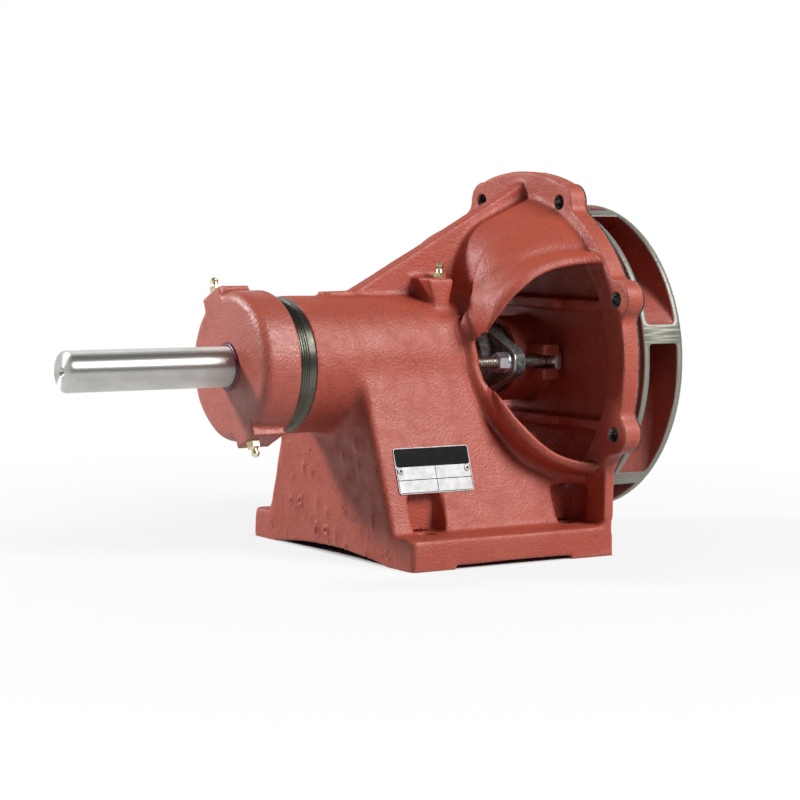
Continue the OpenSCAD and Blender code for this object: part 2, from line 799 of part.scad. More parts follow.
module shaft()
  color("#c3c4c6") difference() {
    turned(concat([[0, drive_end_x]],
      [for (i = [0:5]) let (a = 18 * i)
        [shaft_r - drive_round + drive_round * sin(a), drive_end_x + drive_round - drive_round * cos(a)]],
      [[shaft_r, cap_front_x - journal_out], [journal_r, cap_front_x - journal_out],
       [journal_r, seal_x + seal_w + 1], [seat_r, seal_x + seal_w + 1],
       [seat_r, outboard_x + bearing_w], [waist_r, outboard_x + bearing_w],
       [waist_r, inboard_x], [seat_r, inboard_x], [seat_r, sleeve_start_x - 3],
       [sleeve_seat_r, sleeve_start_x - 3], [sleeve_seat_r, hub_x], [impeller_seat_r, hub_x],
       [impeller_seat_r, shaft_end_x - 1], [impeller_seat_r - 1, shaft_end_x],
       [0, shaft_end_x]]));
    for (x = ring_xs) tube_x(x - 0.1, x + ring_t + 0.1, seat_r - ring_depth, seat_r + 1);
    drive_keyway();
    // impeller keyway and the bolt's hole
    translate([key_x - 0.1, -key_s / 2 - 0.02, impeller_seat_r - key_s / 2 - 0.02])
      cube([hub_end_x - key_x + 2, key_s + 0.04, key_s]);
    rod_x(shaft_end_x - impeller_bolt_in - 2, shaft_end_x + 1, impeller_bolt_r + run);
    // centre drilled in the drive end
    turned([[0, drive_end_x - 1], [centre_r, drive_end_x - 1], [centre_r, drive_end_x],
      [0, drive_end_x + centre_depth]]);
  }

module drive_keyway() {
  run_out = sqrt(keyway_h * (2 * cutter_r - keyway_h));
  straight = keyway_len - run_out;
  round_shaft(keyway_angle) {
    translate([drive_end_x - 1, -shaft_r - 1, -keyway_w / 2])
      cube([straight + 1, keyway_h + 1, keyway_w]);
    // run out left by the round cutter
    translate([drive_end_x + straight, keyway_h - shaft_r - cutter_r, -keyway_w / 2])
      cylinder(h = keyway_w, r = cutter_r);
  }
}

module shaft_snap_rings()
  color("#6d6e6f") for (x = ring_xs) difference() {
    tube_x(x, x + ring_t, seat_r - ring_depth + run, seat_r + 3);
    translate([x - 1, -seat_r - 5, -3]) cube([ring_t + 2, 10, 6]);
  }

module inner_seal()
  color("#2b2b2b") turned([
    [seat_r + 1.2, inner_seal_x + 0.1], [inner_seal_r, inner_seal_x + 0.1],
    [inner_seal_r, inner_seal_x + seal_w - 0.1], [inner_seal_r - 2, inner_seal_x + seal_w - 0.1],
    [inner_seal_r - 2, inner_seal_x + 3], [seat_r + 4, inner_seal_x + 3],
    [seat_r + 3, inner_seal_x + seal_w - 1.5], [seat_r + run, inner_seal_x + seal_w - 2.5],
    [seat_r + 1.2, inner_seal_x + 3]]);

// rubber disc on the shaft that throws water off before the bearing
module slinger() {
  x = sleeve_start_x - slinger_in;
  color("#262626") turned([[seat_r + 0.02, x], [seat_r + slinger_wall, x],
    [seat_r + slinger_lip, x - 1], [seat_r + slinger_lip, x + 1.2],
    [seat_r + slinger_wall, x + slinger_w / 2], [seat_r + slinger_wall, x + slinger_w],
    [seat_r + 0.02, x + slinger_w]]);
}

module shaft_sleeve()
  color("#b7a26a") tube_x(sleeve_start_x, sleeve_end_x - 0.1, sleeve_seat_r + 0.02, sleeve_d / 2);

module impeller_key()
  color("#8f8f8c") translate([key_x, -key_s / 2, impeller_seat_r - key_s / 2])
    cube([key_len, key_s, key_s]);

module impeller_washer()
  color("#b9bbbd") tube_x(hub_end_x + 0.05, hub_end_x + impeller_washer_t, impeller_bolt_r + 0.3,
    impeller_washer_r);

module impeller_bolt() {
  head_x = hub_end_x + impeller_washer_t + 0.05;
  color("#9a9b9c") {
    rod_x(shaft_end_x - impeller_bolt_in, head_x + eps, impeller_bolt_r);
    translate([head_x, 0, 0]) chamfered_hex(impeller_bolt_af, impeller_bolt_head, false);
  }
}

// Impeller

// one vane: a spiral that meets every radius at the same angle
module vane_outline() {
  steps = 16;
  sweep = ln(impeller_r / (eye_r - 2)) / tan(vane_angle) * 180 / PI;
  radius = [for (i = [0:steps]) impeller_r * exp(-tan(vane_angle) * sweep * i / steps * PI / 180)];
  half = [for (r = radius) vane_t / 2 / (r * sin(vane_angle)) * 180 / PI];
  polygon(concat(
    [for (i = [0:steps]) polar(sweep * i / steps - half[i], radius[i])],
    [for (i = [steps:-1:0]) polar(sweep * i / steps + half[i], radius[i])]));
}

module impeller()
  color("#8b4a41") difference() {
    union() {
      // hub side shroud, thicker towards the hub
      turned([[hub_r, impeller_x], [impeller_r, impeller_x], [impeller_r, passage_x],
        [hub_r + swell_out, passage_x], [hub_r + swell_mid, passage_x + swell_h / 3],
        [hub_r, passage_x + swell_h], [hub_r - 1, impeller_x + 10]]);
      rod_x(hub_x, hub_end_x, hub_r);
      intersection() {
        axial(passage_x - 1) linear_extrude(passage_w + 1)
          for (i = [0:vane_n - 1]) rotate(-vane_start - i * 360 / vane_n) vane_outline();
        rod_x(passage_x - 1, front_x, impeller_r);
      }
    }
    rod_x(hub_x - 1, hub_end_x + 1, impeller_seat_r + 0.02);
    translate([hub_x + 1, -key_s / 2 - 0.02, 0])
      cube([hub_end_x, key_s + 0.04, impeller_seat_r + key_s / 2 + 0.02]);
  }

// front shroud with the skirt round the eye, carried by the vanes
module impeller_front_shroud()
  color("#8b4a41") turned([[impeller_r, front_x], [impeller_r, front_x + shroud_t],
    [eye_r + eye_wall + eye_swell, front_x + shroud_t + 1],
    [eye_r + eye_wall + 1, front_x + shroud_t + 7],
    [eye_r + eye_wall, front_x + eye_skirt + shroud_t], [eye_r, front_x + eye_skirt + shroud_t],
    [eye_r, front_x + 8], [eye_r + eye_wall, front_x]]);

// Packing, gland and its bolts

module packing_rings()
  color("#4a4a46") for (i = [0:packing_n - 1]) {
    x = nose_tip_x + 0.1 + i * packing_s;
    tube_x(x, x + packing_s - 0.1, sleeve_d / 2 + run, packing_r);
  }

module gland_outline() {
  circle(gland_hub_r, $fn = 64);
  for (y = [-gland_bolt_y, gland_bolt_y]) translate([0, y]) circle(gland_ear_r, $fn = 48);
  // straight flanks, tangent to the middle and to each ear
  lean = acos((gland_hub_r - gland_ear_r) / gland_bolt_y);
  for (side = [-1, 1]) polygon([
    [0, 0], [gland_hub_r * sin(lean), side * gland_hub_r * cos(lean)],
    [gland_ear_r * sin(lean), side * (gland_bolt_y + gland_ear_r * cos(lean))],
    [0, side * gland_bolt_y],
    [-gland_ear_r * sin(lean), side * (gland_bolt_y + gland_ear_r * cos(lean))],
    [-gland_hub_r * sin(lean), side * gland_hub_r * cos(lean)]]);
}

module gland()
  color("#2f3032") difference() {
    union() {
      axial(gland_x) linear_extrude(gland_t) gland_outline();
      // raised middle on the drive side, with a web to each ear
      turned([[0, gland_x - 9], [gland_hub_r - 5, gland_x - 9], [gland_hub_r - 1, gland_x + eps],
        [0, gland_x + eps]]);
      mirrored_y() slab_z(7) polygon([[gland_x + eps, -gland_hub_r + 8], [gland_x - 9, -gland_hub_r + 8],
        [gland_x - 8, -gland_hub_r + 3], [gland_x + eps, -gland_bolt_y + 9.2]]);
      rod_x(gland_x + gland_t - eps, nose_tip_x, packing_r - 0.1);
    }
    rod_x(gland_x - 10, nose_tip_x + 1, sleeve_d / 2 + 0.5);
    mirrored_y() translate([0, -gland_bolt_y, 0])
      rod_x(gland_x - 5, gland_x + gland_t + 1, gland_bolt_d / 2 + 0.6);
  }

module gland_bolts()
  color("#7c7768") mirrored_y() translate([0, -gland_bolt_y, 0]) {
    rod_x(bolt_head_x - gland_bolt_len, bolt_head_x + eps, gland_bolt_d / 2);
    translate([bolt_head_x, -bolt_head_s / 2, -bolt_head_s / 2])
      cube([bolt_head_t, bolt_head_s, bolt_head_s]);
  }

module gland_nut(side)
  translate([gland_x - washer_t - 0.1 - nut_t, side * gland_bolt_y, 0]) difference() {
    chamfered_hex(nut_af, nut_t);
    rod_x(-1, nut_t + 1, gland_bolt_d / 2 + run);
  }

module gland_nut_near() color("#c9ccd0") gland_nut(-1);
module gland_nut_far() color("#c9ccd0") gland_nut(1);

module gland_lock_washers()
  color("#b4b6b8") mirrored_y() translate([0, -gland_bolt_y, 0]) difference() {
    tube_x(gland_x - washer_t - 0.05, gland_x - 0.05, gland_bolt_d / 2 + 0.3, washer_r);
    // split
    translate([gland_x - washer_t - 1, -washer_r - 1, -0.4]) rotate([12, 0, 0])
      cube([washer_t + 2, washer_r, 0.8]);
  }

// Gasket, fittings and nameplate

module volute_gasket()
  color("#1f1f20") axial(0.02) linear_extrude(gasket_t) difference() {
    flange_outline(gasket_trim);
    circle(spigot_r + 0.4, $fn = 180);
    volute_holes();
  }

// grease nipple that points up +Z from its seat
module grease_fitting() {
  hex(fitting_hex, fitting_hex_h);
  translate([0, 0, -fitting_shank]) cylinder(h = fitting_shank + eps, r = fitting_shank_r, $fn = 32);
  rotate_extrude($fn = 32) polygon([[0, fitting_hex_h - eps], [3.4, fitting_hex_h - eps],
    [2.5, fitting_hex_h + 2.2], [2.5, fitting_hex_h + 3.6], [3.3, fitting_hex_h + 4.6],
    [3.3, fitting_hex_h + 5.8], [2.0, fitting_hex_h + 7.4], [1.2, fitting_h], [0, fitting_h]]);
}

module cap_grease_fittings()
  color("#c9b458") for (a = [0, 180]) round_shaft(cap_boss_angle + a)
    translate([cap_front_x + cap_fitting_in, -cap_boss_top - run, 0]) rotate([90, 0, 0]) grease_fitting();

module bracket_grease_fitting()
  color("#c9b458") translate([port_x, port_y, port_boss_z + run]) grease_fitting();

// the nameplate's flat, on the leaning side wall, with y pointing out of the wall
module on_side_wall()
  translate([plate_x, -half_width(plate_z), plate_z]) rotate([-pedestal_tilt, 0, 0]) children();

module nameplate()
  color("#d9d9d6") on_side_wall() translate([0, -run, 0]) rotate([90, 0, 0])
    linear_extrude(plate_t) difference() {
      rounded_rect(-plate_w / 2, plate_w / 2, plate_h / 2, 2.5, $fn = 24);
      for (s = [-1, 1]) translate([s * (plate_w / 2 - plate_rivet_in), 0]) circle(1.6, $fn = 24);
    }

module plate_rivets()
  color("#c4c4c0") on_side_wall() for (s = [-1, 1])
    translate([s * (plate_w / 2 - plate_rivet_in), -plate_t - 2 * run, 0]) rotate([90, 0, 0]) {
      rotate_extrude($fn = 32) polygon([[0, 0], [2.9, 0], [2.6, 0.8], [1.6, 1.4], [0, 1.6]]);
      translate([0, 0, -plate_t]) cylinder(h = plate_t + eps, r = 1.4, $fn = 24);
    }

bracket();
bearing_cap();
cap_seal();
cap_retaining_ring();
outboard_outer_race();
outboard_inner_race();
outboard_balls();
outboard_cage();
inboard_outer_race();
inboard_inner_race();
inboard_balls();
inboard_cage();
shaft();
shaft_snap_rings();
inner_seal();
slinger();
shaft_sleeve();
packing_rings();
gland();
gland_bolts();
gland_nut_near();
gland_nut_far();
gland_lock_washers();
impeller();
impeller_front_shroud();
impeller_key();
impeller_washer();
impeller_bolt();
volute_gasket();
cap_grease_fittings();
bracket_grease_fitting();
nameplate();
plate_rivets();
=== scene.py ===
import math

import bmesh
import bpy
import numpy as np
from mathutils import Matrix, Vector


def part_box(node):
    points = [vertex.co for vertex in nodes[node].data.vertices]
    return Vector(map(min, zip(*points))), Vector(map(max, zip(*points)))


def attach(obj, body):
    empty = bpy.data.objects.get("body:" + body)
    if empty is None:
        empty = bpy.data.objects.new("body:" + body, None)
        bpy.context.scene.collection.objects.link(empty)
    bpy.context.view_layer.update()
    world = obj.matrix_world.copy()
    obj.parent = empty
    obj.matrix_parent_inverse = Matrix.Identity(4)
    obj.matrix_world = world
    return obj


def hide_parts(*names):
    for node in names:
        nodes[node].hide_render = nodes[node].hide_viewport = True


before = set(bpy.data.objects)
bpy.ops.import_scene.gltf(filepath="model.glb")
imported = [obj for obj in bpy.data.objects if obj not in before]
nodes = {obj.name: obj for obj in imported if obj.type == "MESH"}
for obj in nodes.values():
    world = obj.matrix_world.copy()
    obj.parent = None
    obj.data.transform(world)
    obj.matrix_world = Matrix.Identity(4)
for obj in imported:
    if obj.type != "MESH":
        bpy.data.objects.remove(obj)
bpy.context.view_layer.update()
scene = bpy.context.scene
scene.view_settings.view_transform = "Standard"
mm = 0.001


# camera, set to the photograph's view

cameraSetup = {
    "place": (-1.233315, -1.640705, 0.135031),
    "yaw": 33.852,      # degrees from +Y towards +X
    "down": 4.681,
    "roll": 0.76,
    "lens": 110.0,
    "sensor": 36.0,
    "shiftY": -0.0075,
    "clip": (0.05, 60),
}


def makeCamera(c):
    data = bpy.data.cameras.new("photoView")
    data.lens, data.sensor_width, data.sensor_fit = c["lens"], c["sensor"], "HORIZONTAL"
    data.shift_y = c["shiftY"]
    data.clip_start, data.clip_end = c["clip"]
    cam = bpy.data.objects.new("photoView", data)
    scene.collection.objects.link(cam)
    yaw, down, roll = (math.radians(c[k]) for k in ("yaw", "down", "roll"))
    ahead = Vector((math.sin(yaw) * math.cos(down), math.cos(yaw) * math.cos(down), -math.sin(down)))
    right = Vector((math.cos(yaw), -math.sin(yaw), 0))
    up = right.cross(ahead)
    rightTurned = right * math.cos(roll) + up * math.sin(roll)
    upTurned = up * math.cos(roll) - right * math.sin(roll)
    turn = Matrix((rightTurned, upTurned, -ahead)).transposed()
    cam.matrix_world = Matrix.Translation(c["place"]) @ turn.to_4x4()
    scene.camera = cam


makeCamera(cameraSetup)
print("camera set")


# node helpers

def newMaterial(name):
    mat = bpy.data.materials.new(name)
    mat.use_nodes = True
    mat.node_tree.nodes.clear()
    return mat, mat.node_tree


def feed(tree, sock, value):
    if isinstance(value, bpy.types.NodeSocket):
        tree.links.new(value, sock)
    else:
        sock.default_value = value


def addNode(tree, kind, settings=None, **sockets):
    n = tree.nodes.new("ShaderNode" + kind)
    for key, value in (settings or {}).items():
        setattr(n, key, value)
    for key, value in sockets.items():
        feed(tree, n.inputs[key.replace("_", " ")], value)
    return n


def objectCoords(tree, scale=(1, 1, 1)):
    coords = addNode(tree, "TexCoord").outputs["Object"]
    if scale == (1, 1, 1):
        return coords
    return addNode(tree, "Mapping", Vector=coords, Scale=scale).outputs["Vector"]


def noise(tree, coords, scale, detail=3, rough=0.5):
    n = addNode(tree, "TexNoise", Vector=coords, Scale=scale, Detail=detail, Roughness=rough)
    return n.outputs["Fac"]


def ramp(tree, value, low, high, atLow=0.0, atHigh=1.0):
    n = addNode(tree, "MapRange", {"interpolation_type": "SMOOTHSTEP"})
    tree.links.new(value, n.inputs["Value"])
    for key, v in (("From Min", low), ("From Max", high), ("To Min", atLow), ("To Max", atHigh)):
        n.inputs[key].default_value = v
    return n.outputs["Result"]


def maths(tree, kind, a, b=0.5):
    n = addNode(tree, "Math", {"operation": kind})
    for sock, value in zip(n.inputs, (a, b)):
        feed(tree, sock, value)
    return n.outputs[0]


def mixColour(tree, factor, a, b):
    n = addNode(tree, "Mix", {"data_type": "RGBA"})
    feed(tree, n.inputs[0], factor)
    for sock, colour in ((n.inputs[6], a), (n.inputs[7], b)):
        feed(tree, sock, (*colour, 1) if isinstance(colour, tuple) else colour)
    return n.outputs[2]


def mixValue(tree, factor, a, b):
    n = addNode(tree, "Mix")
    for sock, value in zip((n.inputs[0], n.inputs[2], n.inputs[3]), (factor, a, b)):
        feed(tree, sock, value)
    return n.outputs[0]


def mixVector(tree, factor, a, b):
    n = addNode(tree, "Mix", {"data_type": "VECTOR"})
    for sock, value in zip((n.inputs[0], n.inputs[4], n.inputs[5]), (factor, a, b)):
        feed(tree, sock, value)
    return n.outputs[1]


def bump(tree, height, depth, under=None):
    n = addNode(tree, "Bump", Height=height, Distance=depth, Strength=1.0)
    if under:
        tree.links.new(under, n.inputs["Normal"])
    return n.outputs["Normal"]


def finishSurface(tree, **sockets):
    shader = addNode(tree, "BsdfPrincipled", None, **sockets)
    addNode(tree, "OutputMaterial", None, Surface=shader.outputs[0])
    return shader


def combine(tree, **parts):
    return addNode(tree, "CombineXYZ", None, **parts).outputs[0]


def lengthOf(tree, vector):
    return addNode(tree, "VectorMath", {"operation": "LENGTH"}, Vector=vector).outputs["Value"]


def absolute(tree, value):
    return maths(tree, "ABSOLUTE", value)


def shaftRadius(tree, coords):
    parts = addNode(tree, "SeparateXYZ", Vector=coords)
    return lengthOf(tree, combine(tree, Y=parts.outputs["Y"], Z=parts.outputs["Z"])), parts


# finishes

paintLook = {
    "base": (0.46, 0.073, 0.040),
    "dusty": (0.50, 0.098, 0.060),
    # deep: random dark blotches and grains, and painted shade in the hollows
    "deep": (0.17, 0.018, 0.012),
    # worn: paler grains, and paler crests and edges that are wear and a painted highlight
    "worn": (0.55, 0.135, 0.092),
    "upwardShade": (0.375, 0.058, 0.027),      # painted shade: darker and deeper on the faces that look up
    "lump": 7.0,          # mm between the lumps of the cast skin
    "lumpDepth": 0.15,
    "peel": 2.1,          # mm between the grains left by the mould
    "peelDepth": 0.60,
    "rough": (0.45, 0.60),
    "gloss": 0.64,
}


turnedIron = {      # the bare metal of the castings, lengths in m
    "light": (0.33, 0.324, 0.282),
    "dark": (0.27, 0.265, 0.228),
    "rust": (0.22, 0.15, 0.10),
    # painted shade inside the drilled holes
    "holeShade": (0.055, 0.048, 0.045),
    "rough": 0.56,
    "metal": 0.8,
    "cuts": 1400,         # tool marks per m
    "cutDepth": 0.000006,
    "spigotX": (0.0008, 0.0012),
    "spigotRadius": (0.1225, 0.1232),
    "lugs": 8,
    "lugCircle": 0.1405,
    "lugHole": (0.00615, 0.00635),
    "lugBack": (-0.0170, -0.0160),
    "footMiddle": -0.095,
    "footHalfX": 0.06985,
    "footHalfY": 0.08575,
    "footHole": (0.0073, 0.0075),
    "footTop": (-0.120, -0.119),
    "rim": (0.12735, 0.12765),
    "rimRagged": 0.0003,
}


def lugHoles(tree, coords, c):
    radius, parts = shaftRadius(tree, coords)
    angle = maths(tree, "ARCTAN2", parts.outputs["Z"], parts.outputs["Y"])
    step = 2 * math.pi / c["lugs"]
    local = maths(tree, "SUBTRACT", maths(tree, "FLOORED_MODULO", angle, step), step / 2)
    along = maths(tree, "MULTIPLY", radius, maths(tree, "COSINE", local))
    along = maths(tree, "SUBTRACT", along, c["lugCircle"])
    across = maths(tree, "MULTIPLY", radius, maths(tree, "SINE", local))
    near = ramp(tree, lengthOf(tree, combine(tree, X=along, Y=across)), *c["lugHole"], 1, 0)
    return maths(tree, "MULTIPLY", near, ramp(tree, parts.outputs["X"], *c["lugBack"]))


def footHoles(tree, coords, c):
    parts = addNode(tree, "SeparateXYZ", Vector=coords)
    fromMiddle = absolute(tree, maths(tree, "SUBTRACT", parts.outputs["X"], c["footMiddle"]))
    dx = maths(tree, "SUBTRACT", fromMiddle, c["footHalfX"])
    dy = maths(tree, "SUBTRACT", absolute(tree, parts.outputs["Y"]), c["footHalfY"])
    near = ramp(tree, lengthOf(tree, combine(tree, X=dx, Y=dy)), *c["footHole"], 1, 0)
    return maths(tree, "MULTIPLY", near, ramp(tree, parts.outputs["Z"], *c["footTop"], 1, 0))


def redPaint(name, look, bare=None):
    mat, tree = newMaterial(name)
    coords = objectCoords(tree)
    hollow = addNode(tree, "Attribute", {"attribute_name": "hollow"}).outputs["Fac"]
    patches = noise(tree, coords, 18, 3, 0.55)
    blotches = noise(tree, coords, 70, 4, 0.62)
    lumps = noise(tree, coords, 1000 / look["lump"], 2, 0.5)
    peel = noise(tree, coords, 1000 / look["peel"], 2, 0.6)
    grain = noise(tree, coords, 1300, 2, 0.6)
    colour = mixColour(tree, ramp(tree, patches, 0.35, 0.68, 0, 0.8), look["base"], look["dusty"])
    facing = addNode(tree, "SeparateXYZ", Vector=addNode(tree, "TexCoord").outputs["Normal"])
    # painted shade: the faces that look up are darker
    colour = mixColour(tree, ramp(tree, facing.outputs["Z"], 0.30, 0.92, 0, 0.85), colour, look["upwardShade"])
    colour = mixColour(tree, ramp(tree, blotches, 0.48, 0.72, 0, 0.22), colour, look["deep"])
    colour = mixColour(tree, ramp(tree, peel, 0.50, 0.30, 0, 0.22), colour, look["deep"])
    colour = mixColour(tree, ramp(tree, peel, 0.55, 0.75, 0, 0.25), colour, look["worn"])
    # paler on the crests and edges: wear, and a painted highlight
    colour = mixColour(tree, ramp(tree, hollow, -0.25, -1.0, 0, 0.5), colour, look["worn"])
    # painted shade: darker in the hollows and creases
    colour = mixColour(tree, ramp(tree, hollow, 0.12, 0.8, 0, 0.6), colour, look["deep"])
    rough = ramp(tree, blotches, 0.3, 0.7, *look["rough"])
    surface = bump(tree, lumps, look["lumpDepth"] * mm)
    surface = bump(tree, peel, look["peelDepth"] * mm, surface)
    surface = bump(tree, grain, 0.00004, surface)
    sockets = {}
    if bare:
        c = turnedIron
        mask, holeShade = bare(tree, coords, c)
        radius, parts = shaftRadius(tree, coords)
        cuts = noise(tree, combine(tree, X=parts.outputs["X"], Y=radius), c["cuts"], 2, 0.6)
        metal = mixColour(tree, ramp(tree, cuts, 0.3, 0.7), c["dark"], c["light"])
        metal = mixColour(tree, ramp(tree, blotches, 0.54, 0.70, 0, 0.35), metal, c["rust"])
        # painted shade inside the drilled holes
        metal = mixColour(tree, holeShade, metal, c["holeShade"])
        colour = mixColour(tree, mask, colour, metal)
        rough = mixValue(tree, mask, rough, c["rough"])
        surface = mixVector(tree, mask, surface, bump(tree, cuts, c["cutDepth"]))
        sockets["Metallic"] = maths(tree, "MULTIPLY", mask, c["metal"])
    shader = finishSurface(tree, Base_Color=colour, Roughness=rough, Normal=surface, **sockets)
    shader.inputs["Specular IOR Level"].default_value = look["gloss"]
    return mat


def bareBracket(tree, coords, c):      # the turned spigot and the drilled holes, with painted shade in the holes
    radius, parts = shaftRadius(tree, coords)
    behind = ramp(tree, parts.outputs["X"], *c["spigotX"])
    spigot = maths(tree, "MULTIPLY", behind, ramp(tree, radius, *c["spigotRadius"]))
    holes = maths(tree, "MAXIMUM", lugHoles(tree, coords, c), footHoles(tree, coords, c))
    ragged = ramp(tree, noise(tree, coords, 260, 3, 0.6), 0.40, 0.56)
    return maths(tree, "MAXIMUM", spigot, holes), maths(tree, "MULTIPLY", holes, ragged)


def bareRims(tree, coords, c):      # the turned rims of the impeller, with no painted shade
    radius = shaftRadius(tree, coords)[0]
    ragged = noise(tree, coords, 300, 3, 0.6)
    edge = maths(tree, "ADD", radius, maths(tree, "MULTIPLY", ragged, c["rimRagged"]))
    return ramp(tree, edge, *c["rim"]), 0.0


metalLooks = {      # rings are the lathe's marks per m
    "shaftSteel": {
        "light": (0.62, 0.61, 0.585), "dark": (0.54, 0.53, 0.505), "rough": (0.42, 0.48), "rings": 2600},
    "threadSteel": {
        "light": (0.185, 0.185, 0.155), "dark": (0.10, 0.10, 0.082), "rough": (0.42, 0.55), "rings": 900},
    "bearingSteel": {
        "light": (0.68, 0.69, 0.70), "dark": (0.60, 0.61, 0.62), "rough": (0.12, 0.2), "rings": 900},
    "cageBrass": {"light": (0.62, 0.46, 0.21), "dark": (0.48, 0.33, 0.14), "rough": (0.25, 0.4)},
    "darkSteel": {"light": (0.30, 0.30, 0.30), "dark": (0.18, 0.18, 0.18), "rough": (0.35, 0.5)},
    "boltSteel": {"light": (0.66, 0.64, 0.58), "dark": (0.47, 0.43, 0.37), "rough": (0.36, 0.5)},
    "brightZinc": {"light": (0.86, 0.88, 0.92), "dark": (0.72, 0.74, 0.79), "rough": (0.36, 0.48)},
    "fittingZinc": {"light": (0.82, 0.74, 0.52), "dark": (0.62, 0.52, 0.30), "rough": (0.20, 0.34)},
    "sleeveBronze": {
        "light": (0.52, 0.47, 0.38), "dark": (0.38, 0.33, 0.25), "rough": (0.24, 0.38), "rings": 900},
    "plateAluminium": {
        "light": (0.62, 0.62, 0.61), "dark": (0.55, 0.55, 0.54), "rough": (0.5, 0.6), "metal": 0.3},
}


def metalFinish(name, look):
    mat, tree = newMaterial(name)
    coords = objectCoords(tree)
    turned = "rings" in look
    stains = noise(tree, coords, 60 if turned else 160, 4, 0.6)
    fine = noise(tree, coords, 1300, 3, 0.6)
    stained = ramp(tree, stains, 0.32, 0.68, 0, 0.6 if turned else 1)
    colour = mixColour(tree, stained, look["light"], look["dark"])
    rough = ramp(tree, stains, 0.3, 0.7, *look["rough"])
    if turned:
        stretched = objectCoords(tree, (look["rings"], 18, 18))
        rings = noise(tree, stretched, 1, 3, 0.65)
        colour = mixColour(tree, ramp(tree, rings, 0.4, 0.7, 0, 0.35), colour, look["dark"])
        surface = bump(tree, rings, 0.000016)
        surface = bump(tree, fine, 0.000006, surface)
    else:
        surface = bump(tree, fine, 0.00003)
    if name == "boltSteel":
        # painted shade in the roots of the threads
        colour = mixColour(tree, boltRoots(tree, coords, boltRootShade), colour, boltRootShade["colour"])
    metal = look.get("metal", 1.0)
    shader = finishSurface(tree, Base_Color=colour, Roughness=rough, Normal=surface, Metallic=metal)
    if turned:      # the cuts run round the shaft and the shine spreads along it
        shader.inputs["Anisotropic"].default_value = 0.9
        shader.inputs["Anisotropic Rotation"].default_value = 0.25
        tangent = addNode(tree, "Tangent", {"direction_type": "RADIAL", "axis": "X"})
        tree.links.new(tangent.outputs[0], shader.inputs["Tangent"])
    return mat


# painted shade in the roots of the bolt threads
boltRootShade = {"y": 0.046, "radius": (0.00405, 0.00445), "share": 0.85, "colour": (0.045, 0.038, 0.032)}


def boltRoots(tree, coords, c):      # painted shade between the threads of the gland bolts
    parts = addNode(tree, "SeparateXYZ", Vector=coords)
    dy = maths(tree, "SUBTRACT", absolute(tree, parts.outputs["Y"]), c["y"])
    away = lengthOf(tree, combine(tree, Y=dy, Z=parts.outputs["Z"]))
    return ramp(tree, away, *c["radius"], c["share"], 0)


darkLooks = {      # grain in grains per m, depth in m
    "sealRubber": {
        "light": (0.045, 0.044, 0.043), "dark": (0.022, 0.022, 0.022), "rough": (0.5, 0.7),
        "grain": 900, "depth": 0.00003},
    "graphitePacking": {
        "light": (0.14, 0.14, 0.13), "dark": (0.05, 0.05, 0.05), "rough": (0.55, 0.8),
        "grain": 520, "depth": 0.0003},
    "gasketSheet": {
        "light": (0.035, 0.033, 0.03), "dark": (0.014, 0.014, 0.014), "rough": (0.55, 0.75),
        "grain": 1100, "depth": 0.00004},
    "printedBlack": {
        "light": (0.011, 0.011, 0.012), "dark": (0.006, 0.006, 0.007), "rough": (0.5, 0.62),
        "grain": 1400, "depth": 0.00001, "gloss": 0.08},
    "crimsonPaint": {
        "light": (0.26, 0.035, 0.075), "dark": (0.085, 0.010, 0.028), "rough": (0.26, 0.40),
        "grain": 900, "depth": 0.0001},
}


def darkFinish(name, look):
    mat, tree = newMaterial(name)
    coords = objectCoords(tree)
    dust = noise(tree, coords, 120, 4, 0.6)
    grain = noise(tree, coords, look["grain"], 3, 0.55)
    colour = mixColour(tree, ramp(tree, dust, 0.35, 0.7), look["dark"], look["light"])
    rough = ramp(tree, grain, 0.3, 0.7, *look["rough"])
    surface = bump(tree, grain, look["depth"])
    shader = finishSurface(tree, Base_Color=colour, Roughness=rough, Normal=surface)
    shader.inputs["Specular IOR Level"].default_value = look.get("gloss", 0.5)
    return mat


glandLook = {"paint": (0.085, 0.088, 0.088), "dust": (0.27, 0.27, 0.26), "metal": (0.62, 0.62, 0.60)}


def blackIron(name, look):
    mat, tree = newMaterial(name)
    coords = objectCoords(tree)
    hollow = addNode(tree, "Attribute", {"attribute_name": "hollow"}).outputs["Fac"]
    scuffs = noise(tree, coords, 240, 4, 0.65)
    peel = noise(tree, coords, 700, 3, 0.55)
    colour = mixColour(tree, ramp(tree, scuffs, 0.42, 0.7), look["paint"], look["dust"])
    edge = ramp(tree, hollow, -0.12, -0.6)
    worn = maths(tree, "MULTIPLY", edge, ramp(tree, scuffs, 0.28, 0.52))
    colour = mixColour(tree, worn, colour, look["metal"])
    rough = mixValue(tree, worn, ramp(tree, scuffs, 0.3, 0.7, 0.30, 0.46), 0.35)
    surface = bump(tree, peel, 0.00012)
    finishSurface(tree, Base_Color=colour, Roughness=rough, Normal=surface, Metallic=worn)
    return mat


capLook = dict(paintLook, rough=(0.38, 0.54), gloss=0.95, peelDepth=0.60)
impellerLook = dict(
    paintLook, base=(0.34, 0.062, 0.040), upwardShade=(0.34, 0.062, 0.040), dusty=(0.42, 0.105, 0.072),
    deep=(0.13, 0.020, 0.015), lump=4.0, lumpDepth=0.4)
finishes = {
    "bracketPaint": redPaint("bracketPaint", paintLook, bareBracket),
    "capPaint": redPaint("capPaint", capLook),
    "impellerPaint": redPaint("impellerPaint", impellerLook, bareRims),
    "glandIron": blackIron("glandIron", glandLook),
}
for key, look in metalLooks.items():
    finishes[key] = metalFinish(key, look)
for key, look in darkLooks.items():
    finishes[key] = darkFinish(key, look)
print("finishes made:", len(finishes))

